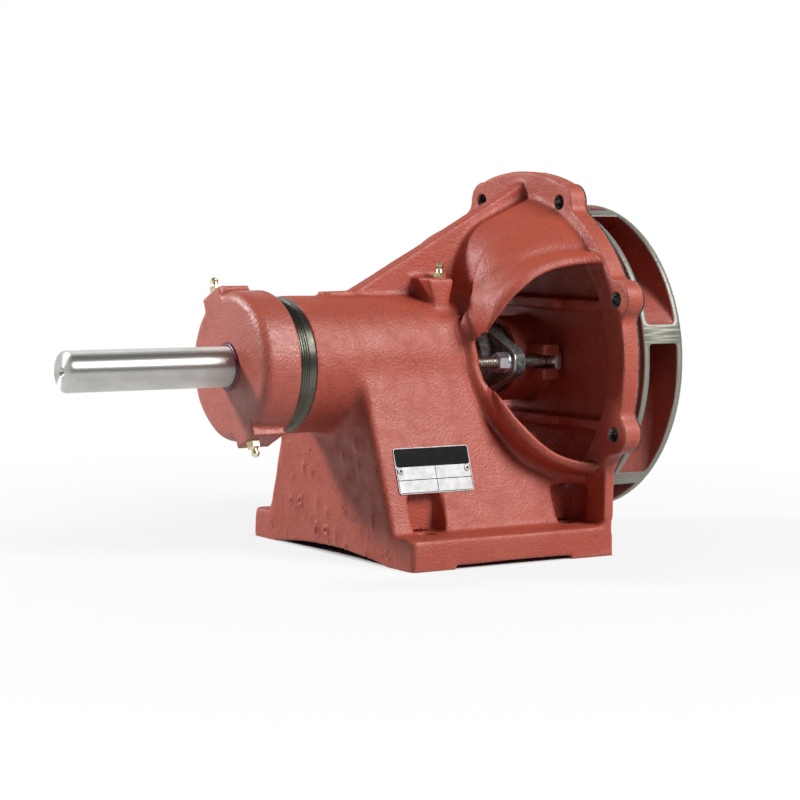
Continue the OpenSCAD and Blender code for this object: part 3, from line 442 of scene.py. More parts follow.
cadFinish = {
    "bracket": "bracketPaint", "bearing_cap": "capPaint", "gland": "glandIron",
    "impeller": "impellerPaint", "impeller_front_shroud": "impellerPaint",
    "cap_seal": "sealRubber", "inner_seal": "sealRubber", "slinger": "sealRubber",
    "packing_rings": "graphitePacking", "volute_gasket": "gasketSheet",
    "cap_retaining_ring": "darkSteel", "shaft_snap_rings": "darkSteel",
    "shaft": "shaftSteel", "shaft_sleeve": "sleeveBronze", "gland_bolts": "boltSteel",
    "impeller_key": "boltSteel", "gland_nut_near": "brightZinc", "gland_nut_far": "brightZinc",
    "gland_lock_washers": "brightZinc", "impeller_washer": "brightZinc", "impeller_bolt": "brightZinc",
    "cap_grease_fittings": "fittingZinc", "bracket_grease_fitting": "fittingZinc",
    "nameplate": "plateAluminium", "plate_rivets": "plateAluminium",
}
for end in ("outboard", "inboard"):
    cadFinish[end + "_cage"] = "cageBrass"
    for piece in ("outer_race", "inner_race", "balls"):
        cadFinish[end + "_" + piece] = "bearingSteel"
for name, key in cadFinish.items():
    mesh = nodes[name].data
    if not mesh.materials:
        mesh.materials.append(finishes[key])
    for i in range(len(mesh.materials)):
        mesh.materials[i] = finishes[key]


# mesh helpers

def linkPiece(name, mesh, finish, body):
    obj = bpy.data.objects.new(name, mesh)
    scene.collection.objects.link(obj)
    mesh.materials.clear()
    mesh.materials.append(finishes[finish])
    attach(obj, body)
    return obj


def meshFrom(bm, name, smooth=40):
    bmesh.ops.recalc_face_normals(bm, faces=bm.faces)
    mesh = bpy.data.meshes.new(name)
    bm.to_mesh(mesh)
    bm.free()
    mesh.polygons.foreach_set("use_smooth", [True] * len(mesh.polygons))
    mesh.set_sharp_from_angle(angle=math.radians(smooth))
    return mesh


def applyModifiers(obj):
    graph = bpy.context.evaluated_depsgraph_get()
    mesh = bpy.data.meshes.new_from_object(obj.evaluated_get(graph))
    obj.modifiers.clear()
    old, obj.data = obj.data, mesh
    bpy.data.meshes.remove(old)
    return mesh


def readPoints(mesh):
    flat = np.empty(len(mesh.vertices) * 3, np.float32)
    mesh.vertices.foreach_get("co", flat)
    return flat.reshape(-1, 3).astype(np.float64)


def writePoints(mesh, points):
    mesh.vertices.foreach_set("co", points.astype(np.float32).ravel())
    mesh.update()


def readNormals(mesh):
    flat = np.empty(len(mesh.vertices) * 3, np.float32)
    mesh.vertex_normals.foreach_get("vector", flat)
    return flat.reshape(-1, 3).astype(np.float64)


def readEdges(mesh):
    flat = np.empty(len(mesh.edges) * 2, np.int32)
    mesh.edges.foreach_get("vertices", flat)
    return flat.reshape(-1, 2)


def neighbourMean(points, edges):
    total = np.zeros_like(points)
    count = np.bincount(edges.ravel(), minlength=len(points)).astype(float)
    for k in range(3):
        total[:, k] = np.bincount(edges[:, 0], points[edges[:, 1], k], len(points))
        total[:, k] += np.bincount(edges[:, 1], points[edges[:, 0], k], len(points))
    return total / np.maximum(count, 1)[:, None]


def hollowness(mesh, passes):
    points, edges, normals = readPoints(mesh), readEdges(mesh), readNormals(mesh)
    moved = points
    for _ in range(passes):
        moved = 0.5 * moved + 0.5 * neighbourMean(moved, edges)
    return ((moved - points) * normals).sum(1)      # above 0 in hollows, below 0 on edges


def smoothSome(mesh, weights, passes):
    points, edges = readPoints(mesh), readEdges(mesh)
    share = 0.5 * weights[:, None]
    for _ in range(passes):
        points = points + share * (neighbourMean(points, edges) - points)
    writePoints(mesh, points)


def waviness(points, size, depth, seed):
    rng = np.random.default_rng(seed)
    total = np.zeros(len(points))
    for _ in range(14):
        way = rng.normal(size=3)
        way /= np.linalg.norm(way) * size * rng.uniform(0.7, 1.6)
        total += np.sin(points @ way * 2 * math.pi + rng.uniform(0, 6.28))
    return total / math.sqrt(14) * depth


def spread(values, edges, rings):      # carries a mask on to the neighbours
    for _ in range(rings):
        grown = values.copy()
        np.maximum.at(grown, edges[:, 0], values[edges[:, 1]])
        np.maximum.at(grown, edges[:, 1], values[edges[:, 0]])
        values = grown
    return values


def within(values, low, high, soft):      # 1 between low and high, fading to 0 over soft
    up = np.clip((values - low) / soft + 1, 0, 1)
    down = np.clip((high - values) / soft + 1, 0, 1)
    both = up * down
    return both * both * (3 - 2 * both)


# cast pieces: a skin over the node's solid, with the mould's fillets, waves and grain

def castCopy(
        name, node, body, finish, c,
        machined=None, extra=None, blend=None, crisp=None, push=None):
    mesh = nodes[node[0]].data.copy()
    bm = bmesh.new()
    bm.from_mesh(mesh)
    for other in node[1:]:
        bm.from_mesh(nodes[other].data)
    bmesh.ops.remove_doubles(bm, verts=bm.verts, dist=0.00001)
    bm.to_mesh(mesh)
    bm.free()
    obj = linkPiece(name, mesh, finish, body)
    remesh = obj.modifiers.new("skin", "REMESH")
    remesh.mode, remesh.voxel_size, remesh.adaptivity = "VOXEL", c["voxel"], 0
    mesh = applyModifiers(obj)
    print(name, "skin,", len(mesh.vertices), "points")
    edges = readEdges(mesh)
    smoothSome(mesh, np.ones(len(mesh.vertices)), 2)
    keep = machined(readPoints(mesh), True) if machined else np.ones(len(mesh.vertices))
    crest = spread(np.clip(-hollowness(mesh, 4) / c["crestAt"], 0, 1), edges, 2)
    for _ in range(c["filletRounds"]):      # fillets grow out of the hollow corners
        weights = np.clip(hollowness(mesh, 5) / c["filletAt"], 0, 1)
        weights = np.maximum(weights, 0.7 * spread(weights, edges, 1)) * (1 - crest) * keep
        if crisp:
            weights *= crisp(readPoints(mesh))
        smoothSome(mesh, weights, 12)
    if blend:
        smoothSome(mesh, blend(readPoints(mesh)) * keep, c["blendPasses"])
    smoothSome(mesh, keep, c["edgePasses"])
    points = readPoints(mesh)
    normals = readNormals(mesh)
    shift = waviness(points, c["waveSize"], c["waveDepth"], c["seed"]) * keep
    if extra:
        shift += extra(points, normals)
    points = points + normals * shift[:, None]
    if push:
        points = push(points)
    if machined:
        points = machined(points, False)
    low = np.min([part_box(n)[0] for n in node], 0)
    high = np.max([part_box(n)[1] for n in node], 0)
    writePoints(mesh, np.clip(points, low, high))
    count = sum(len(p.vertices) - 2 for p in mesh.polygons)
    if count > c["triangles"]:
        thin = obj.modifiers.new("thin", "DECIMATE")
        thin.ratio = c["triangles"] / count
        mesh = applyModifiers(obj)
    hollow = hollowness(mesh, 5)
    attribute = mesh.attributes.new("hollow", "FLOAT", "POINT")
    hollow = np.clip(hollow / c["hollowScale"], -2, 2)
    attribute.data.foreach_set("value", hollow.astype(np.float32))
    mesh.polygons.foreach_set("use_smooth", [True] * len(mesh.polygons))
    mesh.materials.clear()
    mesh.materials.append(finishes[finish])
    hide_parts(*node)
    print(name, "cast,", len(mesh.polygons), "faces")


# bracket casting

bracketCast = {
    "voxel": 1.0 * mm, "crestAt": 0.10 * mm, "filletRounds": 3, "filletAt": 0.08 * mm, "blendPasses": 150,
    "edgePasses": 4, "waveSize": 40 * mm, "waveDepth": 0.25 * mm, "seed": 3, "triangles": 198000,
    "hollowScale": 0.45 * mm,
    "boltCircle": 140.5 * mm, "boltHole": 5.95 * mm, "lugBack": -17 * mm,
    "face": -1.0 * mm, "spigot": 133 * mm, "spigotFrom": 0.5 * mm,
    "sole": -152.2 * mm, "soleFrom": -151.7 * mm, "soleKept": -151.2 * mm,
    "barrelEnd": -245 * mm, "barrelIn": 50 * mm, "turned": 52.4 * mm,
    "wallTop": 53.8 * mm, "wallLean": math.tan(math.radians(18)),
    "window": (-13.5 * mm, 2 * mm), "beadFoot": 89 * mm, "beadFrom": 79.7 * mm, "beadSide": 40 * mm,
    "roll": 84.6 * mm, "rollWide": 4.2 * mm, "rollHigh": 2.4 * mm,
    "groove": 92.2 * mm, "grooveWide": 3.2 * mm, "grooveDeep": 1.5 * mm,
    "push": 9.5 * mm, "pushUp": (142, 400, 46), "pushDown": (-400, 158, 22),      # degrees round the window
    "footMiddle": -95 * mm, "footHalf": 69.85 * mm, "nicheBack": 76 * mm, "nicheDeep": 8 * mm,
}
bracketZones = {      # mm: from, to, and the length over which it fades
    "jointX": (-206, -105, 9), "jointRadius": (49, 68, 5), "jointZ": (-80, 2, 10),
    "edgeX": (-212, -190, 5), "edgeZ": (-118, -15, 8),
    "lip": (77, 83, 3), "tip": (77, 96, 3), "tipX": (-120, -64, 8), "tipZ": (-40, 48, 8),
    "bossZ": (48, 70, 3), "foot": (-133, -124, 3),
    "nicheX": (-1, 17.5, 3), "nicheZ": (-125, -95, 3), "nicheSide": (74, 99, 3),
    "pushAway": (70, 104, 20), "pushSide": (48, 200, 12), "beadX": (-200, -17, 2),
}
bossZone = {"drive": 24, "pump": 12, "near": 26, "far": 22, "soft": 4}      # mm from the grease fitting


def zone(values, name):
    return within(values, *(v * mm for v in bracketZones[name]))


def lugCentres(c):
    angles = [math.radians((i + 0.5) * 45) for i in range(8)]
    return [(c["boltCircle"] * math.cos(a), c["boltCircle"] * math.sin(a)) for a in angles]


def bracketMachined(points, asWeights):
    c = bracketCast
    radius = np.hypot(points[:, 1], points[:, 2])
    x, z = points[:, 0], points[:, 2]
    keep = np.ones(len(points))
    keep[x > c["face"]] = 0
    keep[z < c["soleKept"]] = 0
    keep[x < c["barrelEnd"] + 0.7 * mm] = 0
    holes = []
    for y0, z0 in lugCentres(c):
        away = np.hypot(points[:, 1] - y0, points[:, 2] - z0)
        near = (away < c["boltHole"] + 1.3 * mm) & (x > c["lugBack"])
        holes.append((y0, z0, away, near))
        keep[near] = 0
    if asWeights:
        return keep
    out = points.copy()
    for y0, z0, away, near in holes:      # true round bolt holes
        wall = near & (away < c["boltHole"] + 0.7 * mm)
        scale = c["boltHole"] / np.maximum(away[wall], 1e-6)
        out[wall, 1] = y0 + (points[wall, 1] - y0) * scale
        out[wall, 2] = z0 + (points[wall, 2] - z0) * scale
    ring = (x > c["spigotFrom"]) & (abs(radius - c["spigot"]) < 1.2 * mm)
    scale = c["spigot"] / radius[ring]
    out[ring, 1] = points[ring, 1] * scale
    out[ring, 2] = points[ring, 2] * scale
    outside = radius > c["barrelIn"]      # a clean end of the barrel, with room for the thread ring
    end = outside & (x < c["barrelEnd"] + 0.9 * mm) & (x > c["barrelEnd"] - 0.6 * mm)
    out[end, 0] = c["barrelEnd"]
    turned = outside & (x <= c["barrelEnd"] - 0.6 * mm)
    scale = np.where(turned, np.minimum(1, c["turned"] / radius), 1)
    out[:, 1] *= scale
    out[:, 2] *= scale
    out[z < c["soleFrom"], 2] = c["sole"]
    return out


def bracketBlend(points):      # wide roundings of the mould, each with its share
    c, b = bracketCast, bossZone
    x, y, z = points.T
    joint = zone(x, "jointX") * zone(np.hypot(y, z), "jointRadius") * zone(z, "jointZ")
    corner = abs(abs(y) - (c["wallTop"] - z * c["wallLean"])) / mm
    edge = zone(x, "edgeX") * within(corner, -1, 5, 5) * zone(z, "edgeZ")
    away, side = fromWindow(points), np.clip((abs(y) - 38 * mm) / (4 * mm), 0, 1)
    lip = zone(away, "lip") * side
    tip = zone(away, "tip") * zone(x, "tipX") * zone(z, "tipZ") * side
    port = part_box("bracket_grease_fitting")
    px, py = (port[0][0] + port[1][0]) / 2, (port[0][1] + port[1][1]) / 2
    boss = within(x, px - b["drive"] * mm, px + b["pump"] * mm, b["soft"] * mm)
    boss = boss * within(y, py - b["near"] * mm, py + b["far"] * mm, b["soft"] * mm) * zone(z, "bossZ")
    foot = zone(z, "foot") * ((x < -193 * mm) | (abs(y) > 114 * mm))
    niche = nearNiche(points) * zone(abs(y), "nicheSide")
    share = joint + 0.6 * edge + 0.06 * lip + 0.45 * tip + 0.2 * boss + 0.22 * foot + 0.12 * niche
    return np.clip(share, 0, 1)


def fromWindow(points):
    x, z = bracketCast["window"]
    return np.hypot(points[:, 0] - x, points[:, 2] - z)


def bracketCrisp(points):      # the groove outside the window's bead keeps its line
    foot, side = bracketCast["beadFoot"], bracketCast["beadSide"]
    near = within(fromWindow(points), foot - 6 * mm, foot + 9 * mm, 2 * mm)
    return 1 - 0.93 * near * (abs(points[:, 1]) > side)


def nearNiche(points):      # the four wrench niches over the foot
    c = bracketCast
    fromMiddle = abs(abs(points[:, 0] - c["footMiddle"]) - c["footHalf"])
    return zone(fromMiddle, "nicheX") * zone(points[:, 2], "nicheZ")


def bracketPush(points):      # carries the window's upper edge and the bell's shoulder towards the barrel
    c = bracketCast
    dx, dz = points[:, 0] - c["window"][0], points[:, 2] - c["window"][1]
    away = np.maximum(np.hypot(dx, dz), 1e-6)
    turn = np.degrees(np.arctan2(dz, dx))
    share = c["push"] * within(turn, *c["pushUp"]) * within(turn, *c["pushDown"])
    share = share * zone(away, "pushAway") * zone(abs(points[:, 1]), "pushSide")
    out = points.copy()
    out[:, 0] += share * dx / away
    out[:, 2] += share * dz / away
    back, side = c["nicheBack"], abs(points[:, 1])      # a flat back in each niche
    inside = (nearNiche(points) > 0.5) & (side < back) & (side > back - c["nicheDeep"])
    out[inside, 1] = np.sign(points[inside, 1]) * (back - 0.1 * (back - side[inside]))
    return out


def windowBead(points, normals):      # rounds the bead into a roll with a groove outside it
    c = bracketCast
    away, outer = fromWindow(points), normals[:, 1] * np.sign(points[:, 1])
    mask = np.clip((outer - 0.15) / 0.2, 0, 1) * (abs(points[:, 1]) > c["beadSide"])
    mask = mask * zone(points[:, 0], "beadX") * np.clip((away - c["beadFrom"]) / (1.5 * mm), 0, 1)
    roll = c["rollHigh"] * np.exp(-((away - c["roll"]) / c["rollWide"]) ** 2)
    groove = c["grooveDeep"] * np.exp(-((away - c["groove"]) / c["grooveWide"]) ** 2)
    return mask * (roll - groove)


pimples = {
    "count": 75, "widest": 92 * mm, "low": -148 * mm, "high": -58 * mm, "pits": 0.4,
    "height": (0.4 * mm, 1.4 * mm), "width": (1.1 * mm, 3.0 * mm), "seed": 11,
    "wallX": (-215 * mm, -178 * mm), "wallTop": -55 * mm,
}


def bracketPimples(points, normals):      # on the end wall under the barrel
    c = pimples
    rng = np.random.default_rng(c["seed"])
    shift = np.zeros(len(points))
    x, z = points[:, 0], points[:, 2]
    wall = (x < c["wallX"][1]) & (x > c["wallX"][0]) & (z < c["wallTop"]) & (normals[:, 0] < -0.6)
    index = np.flatnonzero(wall)
    for _ in range(c["count"]):
        y = rng.uniform(-c["widest"], c["widest"])
        z = c["low"] + (c["high"] - c["low"]) * rng.uniform(0, 1) ** 1.4
        share = rng.uniform(0, 1) ** 2
        width = c["width"][0] + (c["width"][1] - c["width"][0]) * share
        height = c["height"][0] + (c["height"][1] - c["height"][0]) * share
        away = np.hypot(points[index, 1] - y, (points[index, 2] - z) / rng.uniform(1.0, 2.6)) / width
        if rng.uniform() < c["pits"]:      # a pit with a raised edge
            edge, pit = np.exp(-((away - 1.0) * 2.4) ** 2), np.exp(-(away * 1.8) ** 2)
            shift[index] += 0.8 * height * (edge - 0.7 * pit)
        else:
            shift[index] += height * np.exp(-away ** 2)
    return shift + windowBead(points, normals)


castCopy(
    "bracketCasting", ["bracket"], "bracket", "bracketPaint", bracketCast,
    bracketMachined, bracketPimples, bracketBlend, bracketCrisp, bracketPush)


# bearing cap casting

capCast = {
    "voxel": 0.85 * mm, "crestAt": 0.10 * mm, "filletRounds": 3, "filletAt": 0.07 * mm, "edgePasses": 5,
    "waveSize": 30 * mm, "waveDepth": 0.2 * mm, "seed": 5, "triangles": 110000, "hollowScale": 0.35 * mm,
    "threadRadius": 54.5 * mm, "threadFrom": -290 * mm, "boreRadius": 17.6 * mm,
}


def capMachined(points, asWeights):
    c = capCast
    radius = np.hypot(points[:, 1], points[:, 2])
    inside = (radius < c["threadRadius"]) & (points[:, 0] > c["threadFrom"])
    keep = np.ones(len(points))
    keep[inside | (radius < c["boreRadius"])] = 0
    return keep if asWeights else points


castCopy("capCasting", ["bearing_cap"], "cap", "capPaint", capCast, capMachined)


# impeller casting

impellerCast = {
    "voxel": 1.1 * mm, "crestAt": 0.10 * mm, "filletRounds": 3, "filletAt": 0.08 * mm, "edgePasses": 3,
    "waveSize": 35 * mm, "waveDepth": 0.2 * mm, "seed": 8, "triangles": 150000, "hollowScale": 0.45 * mm,
    "rim": 127.9 * mm, "rimWall": 127.2 * mm, "rimKept": 126.6 * mm, "bore": 14 * mm, "backX": 17.6 * mm,
}


def impellerMachined(points, asWeights):
    c = impellerCast
    radius = np.hypot(points[:, 1], points[:, 2])
    keep = np.ones(len(points))
    keep[(radius > c["rimKept"]) | (radius < c["bore"]) | (points[:, 0] < c["backX"])] = 0
    if asWeights:
        return keep
    out = points.copy()
    wall = radius > c["rimWall"]
    scale = c["rim"] / radius[wall]
    out[wall, 1] *= scale
    out[wall, 2] *= scale
    return out


castCopy(
    "impellerCasting", ["impeller", "impeller_front_shroud"], "rotor", "impellerPaint",
    impellerCast, impellerMachined)


# gland casting

glandCast = {
    "voxel": 0.5 * mm, "crestAt": 0.05 * mm, "filletRounds": 2, "filletAt": 0.04 * mm, "edgePasses": 3,
    "waveSize": 12 * mm, "waveDepth": 0.08 * mm, "seed": 2, "triangles": 60000, "hollowScale": 0.2 * mm,
}
castCopy("glandCasting", ["gland"], "gland", "glandIron", glandCast)


# machined thread on the bare end of the barrel

threadRing = {
    "from": -268 * mm, "to": -245.2 * mm, "crest": 53.38 * mm, "root": 52.55 * mm, "inner": 50 * mm,
    "pitch": 2.117 * mm, "groove": (0.22, 0.40, 0.62),      # shares of the pitch
    "lead": 0.6 * mm, "land": 3.2 * mm, "bevel": 0.5 * mm, "steps": 180,
}
closeTogether = 0.001 * mm


def bevel(bm, edges, width, segments):
    cut = bmesh.ops.bevel(
        bm, geom=edges, offset=width, offset_type="OFFSET", affect="EDGES", segments=segments,
        profile=0.5, material=-1)
    return cut["verts"]


def spin(bm, geom, axis, steps, turns=1, step=(0, 0, 0), merge=True):
    bmesh.ops.spin(
        bm, geom=geom, cent=(0, 0, 0), axis=axis, dvec=step, angle=2 * math.pi * turns, steps=steps,
        use_merge=merge, use_duplicate=False)


def spunPiece(profile, steps):
    bm = bmesh.new()
    verts = [bm.verts.new((x, 0, r)) for x, r in profile]
    edges = [bm.edges.new(pair) for pair in zip(verts, verts[1:] + verts[:1])]
    spin(bm, verts + edges, (1, 0, 0), steps)
    bmesh.ops.remove_doubles(bm, verts=bm.verts, dist=closeTogether)
    return bm


def makeThreadRing(c):
    pitch, crest, root = c["pitch"], c["crest"], c["root"]
    down, low, up = c["groove"]
    profile = [(c["from"], c["inner"]), (c["from"], crest)]
    x = c["from"] + c["lead"]
    while x + pitch < c["to"] - c["land"]:
        profile += [(x, crest), (x + down * pitch, root), (x + low * pitch, root), (x + up * pitch, crest)]
        x += pitch
    profile += [(c["to"] - c["bevel"], crest), (c["to"], crest - c["bevel"]), (c["to"], c["inner"])]
    bm = spunPiece(profile, c["steps"])
    linkPiece("threadRing", meshFrom(bm, "threadRing", 25), "threadSteel", "bracket")


makeThreadRing(threadRing)
print("thread ring turned")


# gland bolts: threaded rods with square heads

boltShape = {
    "y": 46 * mm, "rod": 3.95 * mm, "crest": 4.72 * mm, "pitch": 1.5875 * mm, "headX": -15.45 * mm,
    "length": 76 * mm, "plain": 7 * mm, "overlap": 0.4 * mm, "head": 14.3 * mm, "headHigh": 6.35 * mm,
    "bevel": 0.7 * mm, "sunk": 0.3 * mm, "steps": 20,
    "ridge": (0.12 * mm, 0.62 * mm, 0.82 * mm, 1.34 * mm, 1.46 * mm),      # its corners along the rod
}


def addRod(bm, radius, length, middle, segments):
    made = bmesh.ops.create_cone(
        bm, cap_ends=True, segments=segments, radius1=radius, radius2=radius, depth=length)
    place = Matrix.Translation((middle, 0, 0)) @ Matrix.Rotation(math.radians(90), 4, "Y")
    bmesh.ops.transform(bm, matrix=place, verts=made["verts"])
    return list(made["verts"])


def addBolt(bm, c, side):
    start, lap, rod, crest = c["headX"] - c["length"], c["overlap"], c["rod"], c["crest"]
    threaded = c["length"] - c["plain"]
    verts = addRod(bm, rod, threaded + lap, start + threaded / 2 + 0.2 * mm, 32)
    verts += addRod(bm, crest, c["plain"] + lap, c["headX"] - c["plain"] / 2, 48)
    turns = int((c["length"] - c["plain"] - 1.5 * mm) / c["pitch"])      # one ridge wound round the rod
    x = start + 0.6 * mm
    low, up, top, down, end = c["ridge"]
    corners = (
        (x, rod - c["sunk"]), (x + low, rod), (x + up, crest), (x + top, crest), (x + down, rod),
        (x + end, rod - c["sunk"]))
    ridge = [bm.verts.new((along, 0, out)) for along, out in corners]
    face = bm.faces.new(ridge)
    before = set(bm.verts)
    geom, step = [face] + list(face.edges) + ridge, (c["pitch"] / c["steps"], 0, 0)
    spin(bm, geom, (1, 0, 0), c["steps"] * turns, turns, step, False)
    verts += ridge + [v for v in bm.verts if v not in before]
    made = bmesh.ops.create_cube(bm, size=1)
    size = Matrix.Diagonal((c["headHigh"], c["head"], c["head"], 1))
    place = Matrix.Translation((c["headX"] + c["headHigh"] / 2, 0, 0))
    bmesh.ops.transform(bm, matrix=place @ size, verts=made["verts"])
    headEdges = list({e for v in made["verts"] for e in v.link_edges})
    cut = bevel(bm, headEdges, c["bevel"], 2)
    verts += [v for v in made["verts"] if v.is_valid] + [v for v in cut if v.is_valid]
    verts = list({v for v in verts if v.is_valid})
    bmesh.ops.translate(bm, vec=(0, side * c["y"], 0), verts=verts)


def makeGlandBolts(c):
    for label, side in (("Near", -1), ("Far", 1)):
        bm = bmesh.new()
        addBolt(bm, c, side)
        mesh = meshFrom(bm, "glandBolt" + label, 35)
        obj = linkPiece("glandBolt" + label, mesh, "boltSteel", "bracket")
        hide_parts("gland_bolts")


makeGlandBolts(boltShape)
print("gland bolts threaded")


# nameplate: blank, with a printed band and ruled boxes

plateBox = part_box("nameplate")
plateShape = {
    "x": (plateBox[0][0] + plateBox[1][0]) / 2, "wide": plateBox[1][0] - plateBox[0][0],
    "z": -79.5 * mm, "high": 36.5 * mm, "thick": 0.8 * mm, "corner": 2.5 * mm, "lean": 18,
    "wallY": -(53.8 + 75.5 * math.tan(math.radians(18))) * mm, "bed": 0.1 * mm,
    "ink": 0.05 * mm, "inkSunk": 0.01 * mm, "inkIn": 0.55 * mm, "inkCorner": 2.0 * mm,
    "line": 0.55 * mm, "band": 0.40, "columnX": 1.2 * mm, "lineGap": 1 * mm,
}
rivetShape = {      # mm: distance from the plate's end, and the profile as radius and height
    "in": 4 * mm, "steps": 32, "centre": 1.0 * mm, "centreHigh": 0.6 * mm,
    "profile": ((0.95, -0.1), (1.0, 0.62), (1.3, 0.9), (1.8, 0.92), (2.4, 0.7), (2.85, 0.2), (2.9, -0.1)),
    "bed": (0.98 * mm, 0.15 * mm),
}


def onSideWall(c, lift):
    lean = Matrix.Rotation(math.radians(-c["lean"]), 4, "X")
    stand = Matrix.Rotation(math.radians(90), 4, "X")
    return Matrix.Translation((c["x"], c["wallY"], c["z"])) @ lean @ stand @ Matrix.Translation((0, 0, lift))


def flatBar(bm, place, x0, x1, y0, y1, thick, corner=0.0):
    made = bmesh.ops.create_cube(bm, size=1)
    verts = made["verts"]
    size = Matrix.Diagonal((x1 - x0, y1 - y0, thick, 1))
    middle = Matrix.Translation(((x0 + x1) / 2, (y0 + y1) / 2, thick / 2))
    bmesh.ops.transform(bm, matrix=middle @ size, verts=verts)
    if corner:
        edges = {e for v in verts for e in v.link_edges}
        upright = [e for e in edges if abs(e.verts[0].co.z - e.verts[1].co.z) > thick / 2]
        verts = list({v for v in list(verts) + bevel(bm, upright, corner, 4) if v.is_valid})
    bmesh.ops.transform(bm, matrix=place, verts=verts)


def makePlatePrint(c):
    w, h, t, i, gap = c["wide"] / 2, c["high"] / 2, c["line"], c["inkIn"], c["lineGap"]
    bottom, top = -h + i, h - i - c["band"] * c["high"]
    middle = (bottom + top) / 2
    bars = (
        (-w + i, -w + i + t, bottom + gap, top), (w - i - t, w - i, bottom + gap, top),
        (-w + i + gap, w - i - gap, bottom, bottom + t), (c["columnX"], c["columnX"] + t, bottom, top),
        (-w + i, w - i, middle - t / 2, middle + t / 2))
    bm = bmesh.new()
    place = onSideWall(c, c["thick"] - c["inkSunk"])
    flatBar(bm, place, -w + i, w - i, top, h - i, c["ink"], c["inkCorner"])
    for x0, x1, y0, y1 in bars:
        flatBar(bm, place, x0, x1, y0, y1, c["ink"])
    linkPiece("nameplatePrint", meshFrom(bm, "nameplatePrint", 30), "printedBlack", "bracket")


def rivetPlace(c, r, side, lift):
    return onSideWall(c, c["thick"] + lift) @ Matrix.Translation((side * (c["wide"] / 2 - r["in"]), 0, 0))


def makeRivets(c, r):      # domed, with a drawn centre, and a black disc in it as painted shade
    bm = bmesh.new()
    for side in (-1, 1):
        start = len(bm.verts)
        verts = [bm.verts.new((radius * mm, 0, high * mm)) for radius, high in r["profile"]]
        bed = [bm.verts.new((0, 0, r["bed"][1])), bm.verts.new((r["bed"][0], 0, r["bed"][1]))]
        loose = [bm.edges.new(pair) for pair in list(zip(verts, verts[1:])) + [tuple(bed)]]
        spin(bm, verts + bed + loose, (0, 0, 1), r["steps"])
        bm.verts.ensure_lookup_table()
        bmesh.ops.transform(bm, matrix=rivetPlace(c, r, side, 0), verts=bm.verts[start:])
    bmesh.ops.remove_doubles(bm, verts=bm.verts, dist=closeTogether)
    mesh = meshFrom(bm, "nameplateRivets", 35)
    rivets = linkPiece("nameplateRivets", mesh, "plateAluminium", "bracket")
    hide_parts("plate_rivets")
    # black discs over the rivets' hollow centres: painted shade
    bm = bmesh.new()
    for side in (-1, 1):
        made = bmesh.ops.create_circle(bm, cap_ends=True, segments=24, radius=r["centre"])
        bmesh.ops.transform(bm, matrix=rivetPlace(c, r, side, r["centreHigh"]), verts=made["verts"])
    linkPiece("rivetHoleShade", meshFrom(bm, "rivetHoleShade", 35), "printedBlack", "bracket")


def makeNameplate(c, r):
    w, h = c["wide"] / 2, c["high"] / 2
    bm = bmesh.new()
    flatBar(bm, onSideWall(c, c["bed"]), -w, w, -h, h, c["thick"] - c["bed"], c["corner"])
    mesh = meshFrom(bm, "nameplateBlank", 30)
    plate = linkPiece("nameplateBlank", mesh, "plateAluminium", "bracket")
    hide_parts("nameplate")
    makePlatePrint(c)
    makeRivets(c, r)


makeNameplate(plateShape, rivetShape)
print("nameplate made")


# ragged ring of crimson paint where the shaft leaves the cap

paintRing = {
    "face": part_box("bearing_cap")[0][0], "out": 1.9 * mm, "lip": 16.0 * mm, "inner": 16.7 * mm,
    "outer": 18.5 * mm, "high": 1.2 * mm, "deep": 4.5 * mm, "steps": 120, "seed": 21,
    "waves": (2, 3, 5, 7, 11, 17, 23, 31), "ragged": 0.018,
}


def makePaintRing(c):      # a little of it runs into the gap, and its lip covers the end of the journal
    x, lip, r0, r1 = c["face"] - c["out"], c["lip"], c["inner"], c["outer"]
    profile = [
        (x + c["deep"], r0), (x + 0.72 * mm, r0), (x + 0.72 * mm, lip), (x + 0.3 * mm, lip + 0.05 * mm),
        (x, lip + 0.8 * mm), (x + 0.25 * mm, r0 + 0.9 * mm), (x + c["high"], r1),
        (x + 2 * mm, r1 + 0.35 * mm), (x + c["deep"], r0 + 0.5 * mm)]
    bm = spunPiece(profile, c["steps"])
    rng = np.random.default_rng(c["seed"])
    waves = [(k, rng.uniform(0, 6.28), rng.uniform(0.3, 1.0) / math.sqrt(k)) for k in c["waves"]]
    for v in bm.verts:
        angle, radius = math.atan2(v.co.z, v.co.y), math.hypot(v.co.y, v.co.z)
        if radius > r0 + 0.75 * mm:
            grown = 1 + c["ragged"] * sum(a * math.sin(k * angle + f) for k, f, a in waves)
            v.co.y, v.co.z = v.co.y * grown, v.co.z * grown
    linkPiece("paintRing", meshFrom(bm, "paintRing", 50), "crimsonPaint", "cap")


makePaintRing(paintRing)
print("paint ring made")


# studio

studio = {
    "floor": -152.2 * mm, "floorHalf": 8, "aim": (-0.12, 0, 0),
    "key": {"at": (-1.66, 1.22, 1.12), "size": 0.32, "light": 0.85},
    "fill": {"at": (0.79, -1.87, 1.56), "size": 1.15, "light": 1.10},
    "perLight": 9.87,      # W per m2 of distance for a lamp of strength 1
    "world": 0.05, "room": 0.20, "ceiling": 0.26,
    "bounce": (0.24, 0.24, 0.24), "seen": (0.7, 0.7, 0.7),
    "glowFrom": (0.10, 0, 0), "glow": (0.12, 0.85, 0.80, 1.0),
    "underMiddle": 0.102, "underX": (0.090, 0.102), "underY": (0.112, 0.124),
}


def makeLamp(name, lamp, c):
    data = bpy.data.lights.new(name, "AREA")
    data.shape, data.size = "SQUARE", lamp["size"]
    away = Vector(c["aim"]) - Vector(lamp["at"])
    data.energy = lamp["light"] * c["perLight"] * away.length_squared
    obj = bpy.data.objects.new(name, data)
    obj.location = lamp["at"]
    obj.rotation_euler = away.to_track_quat("-Z", "Y").to_euler()
    scene.collection.objects.link(obj)


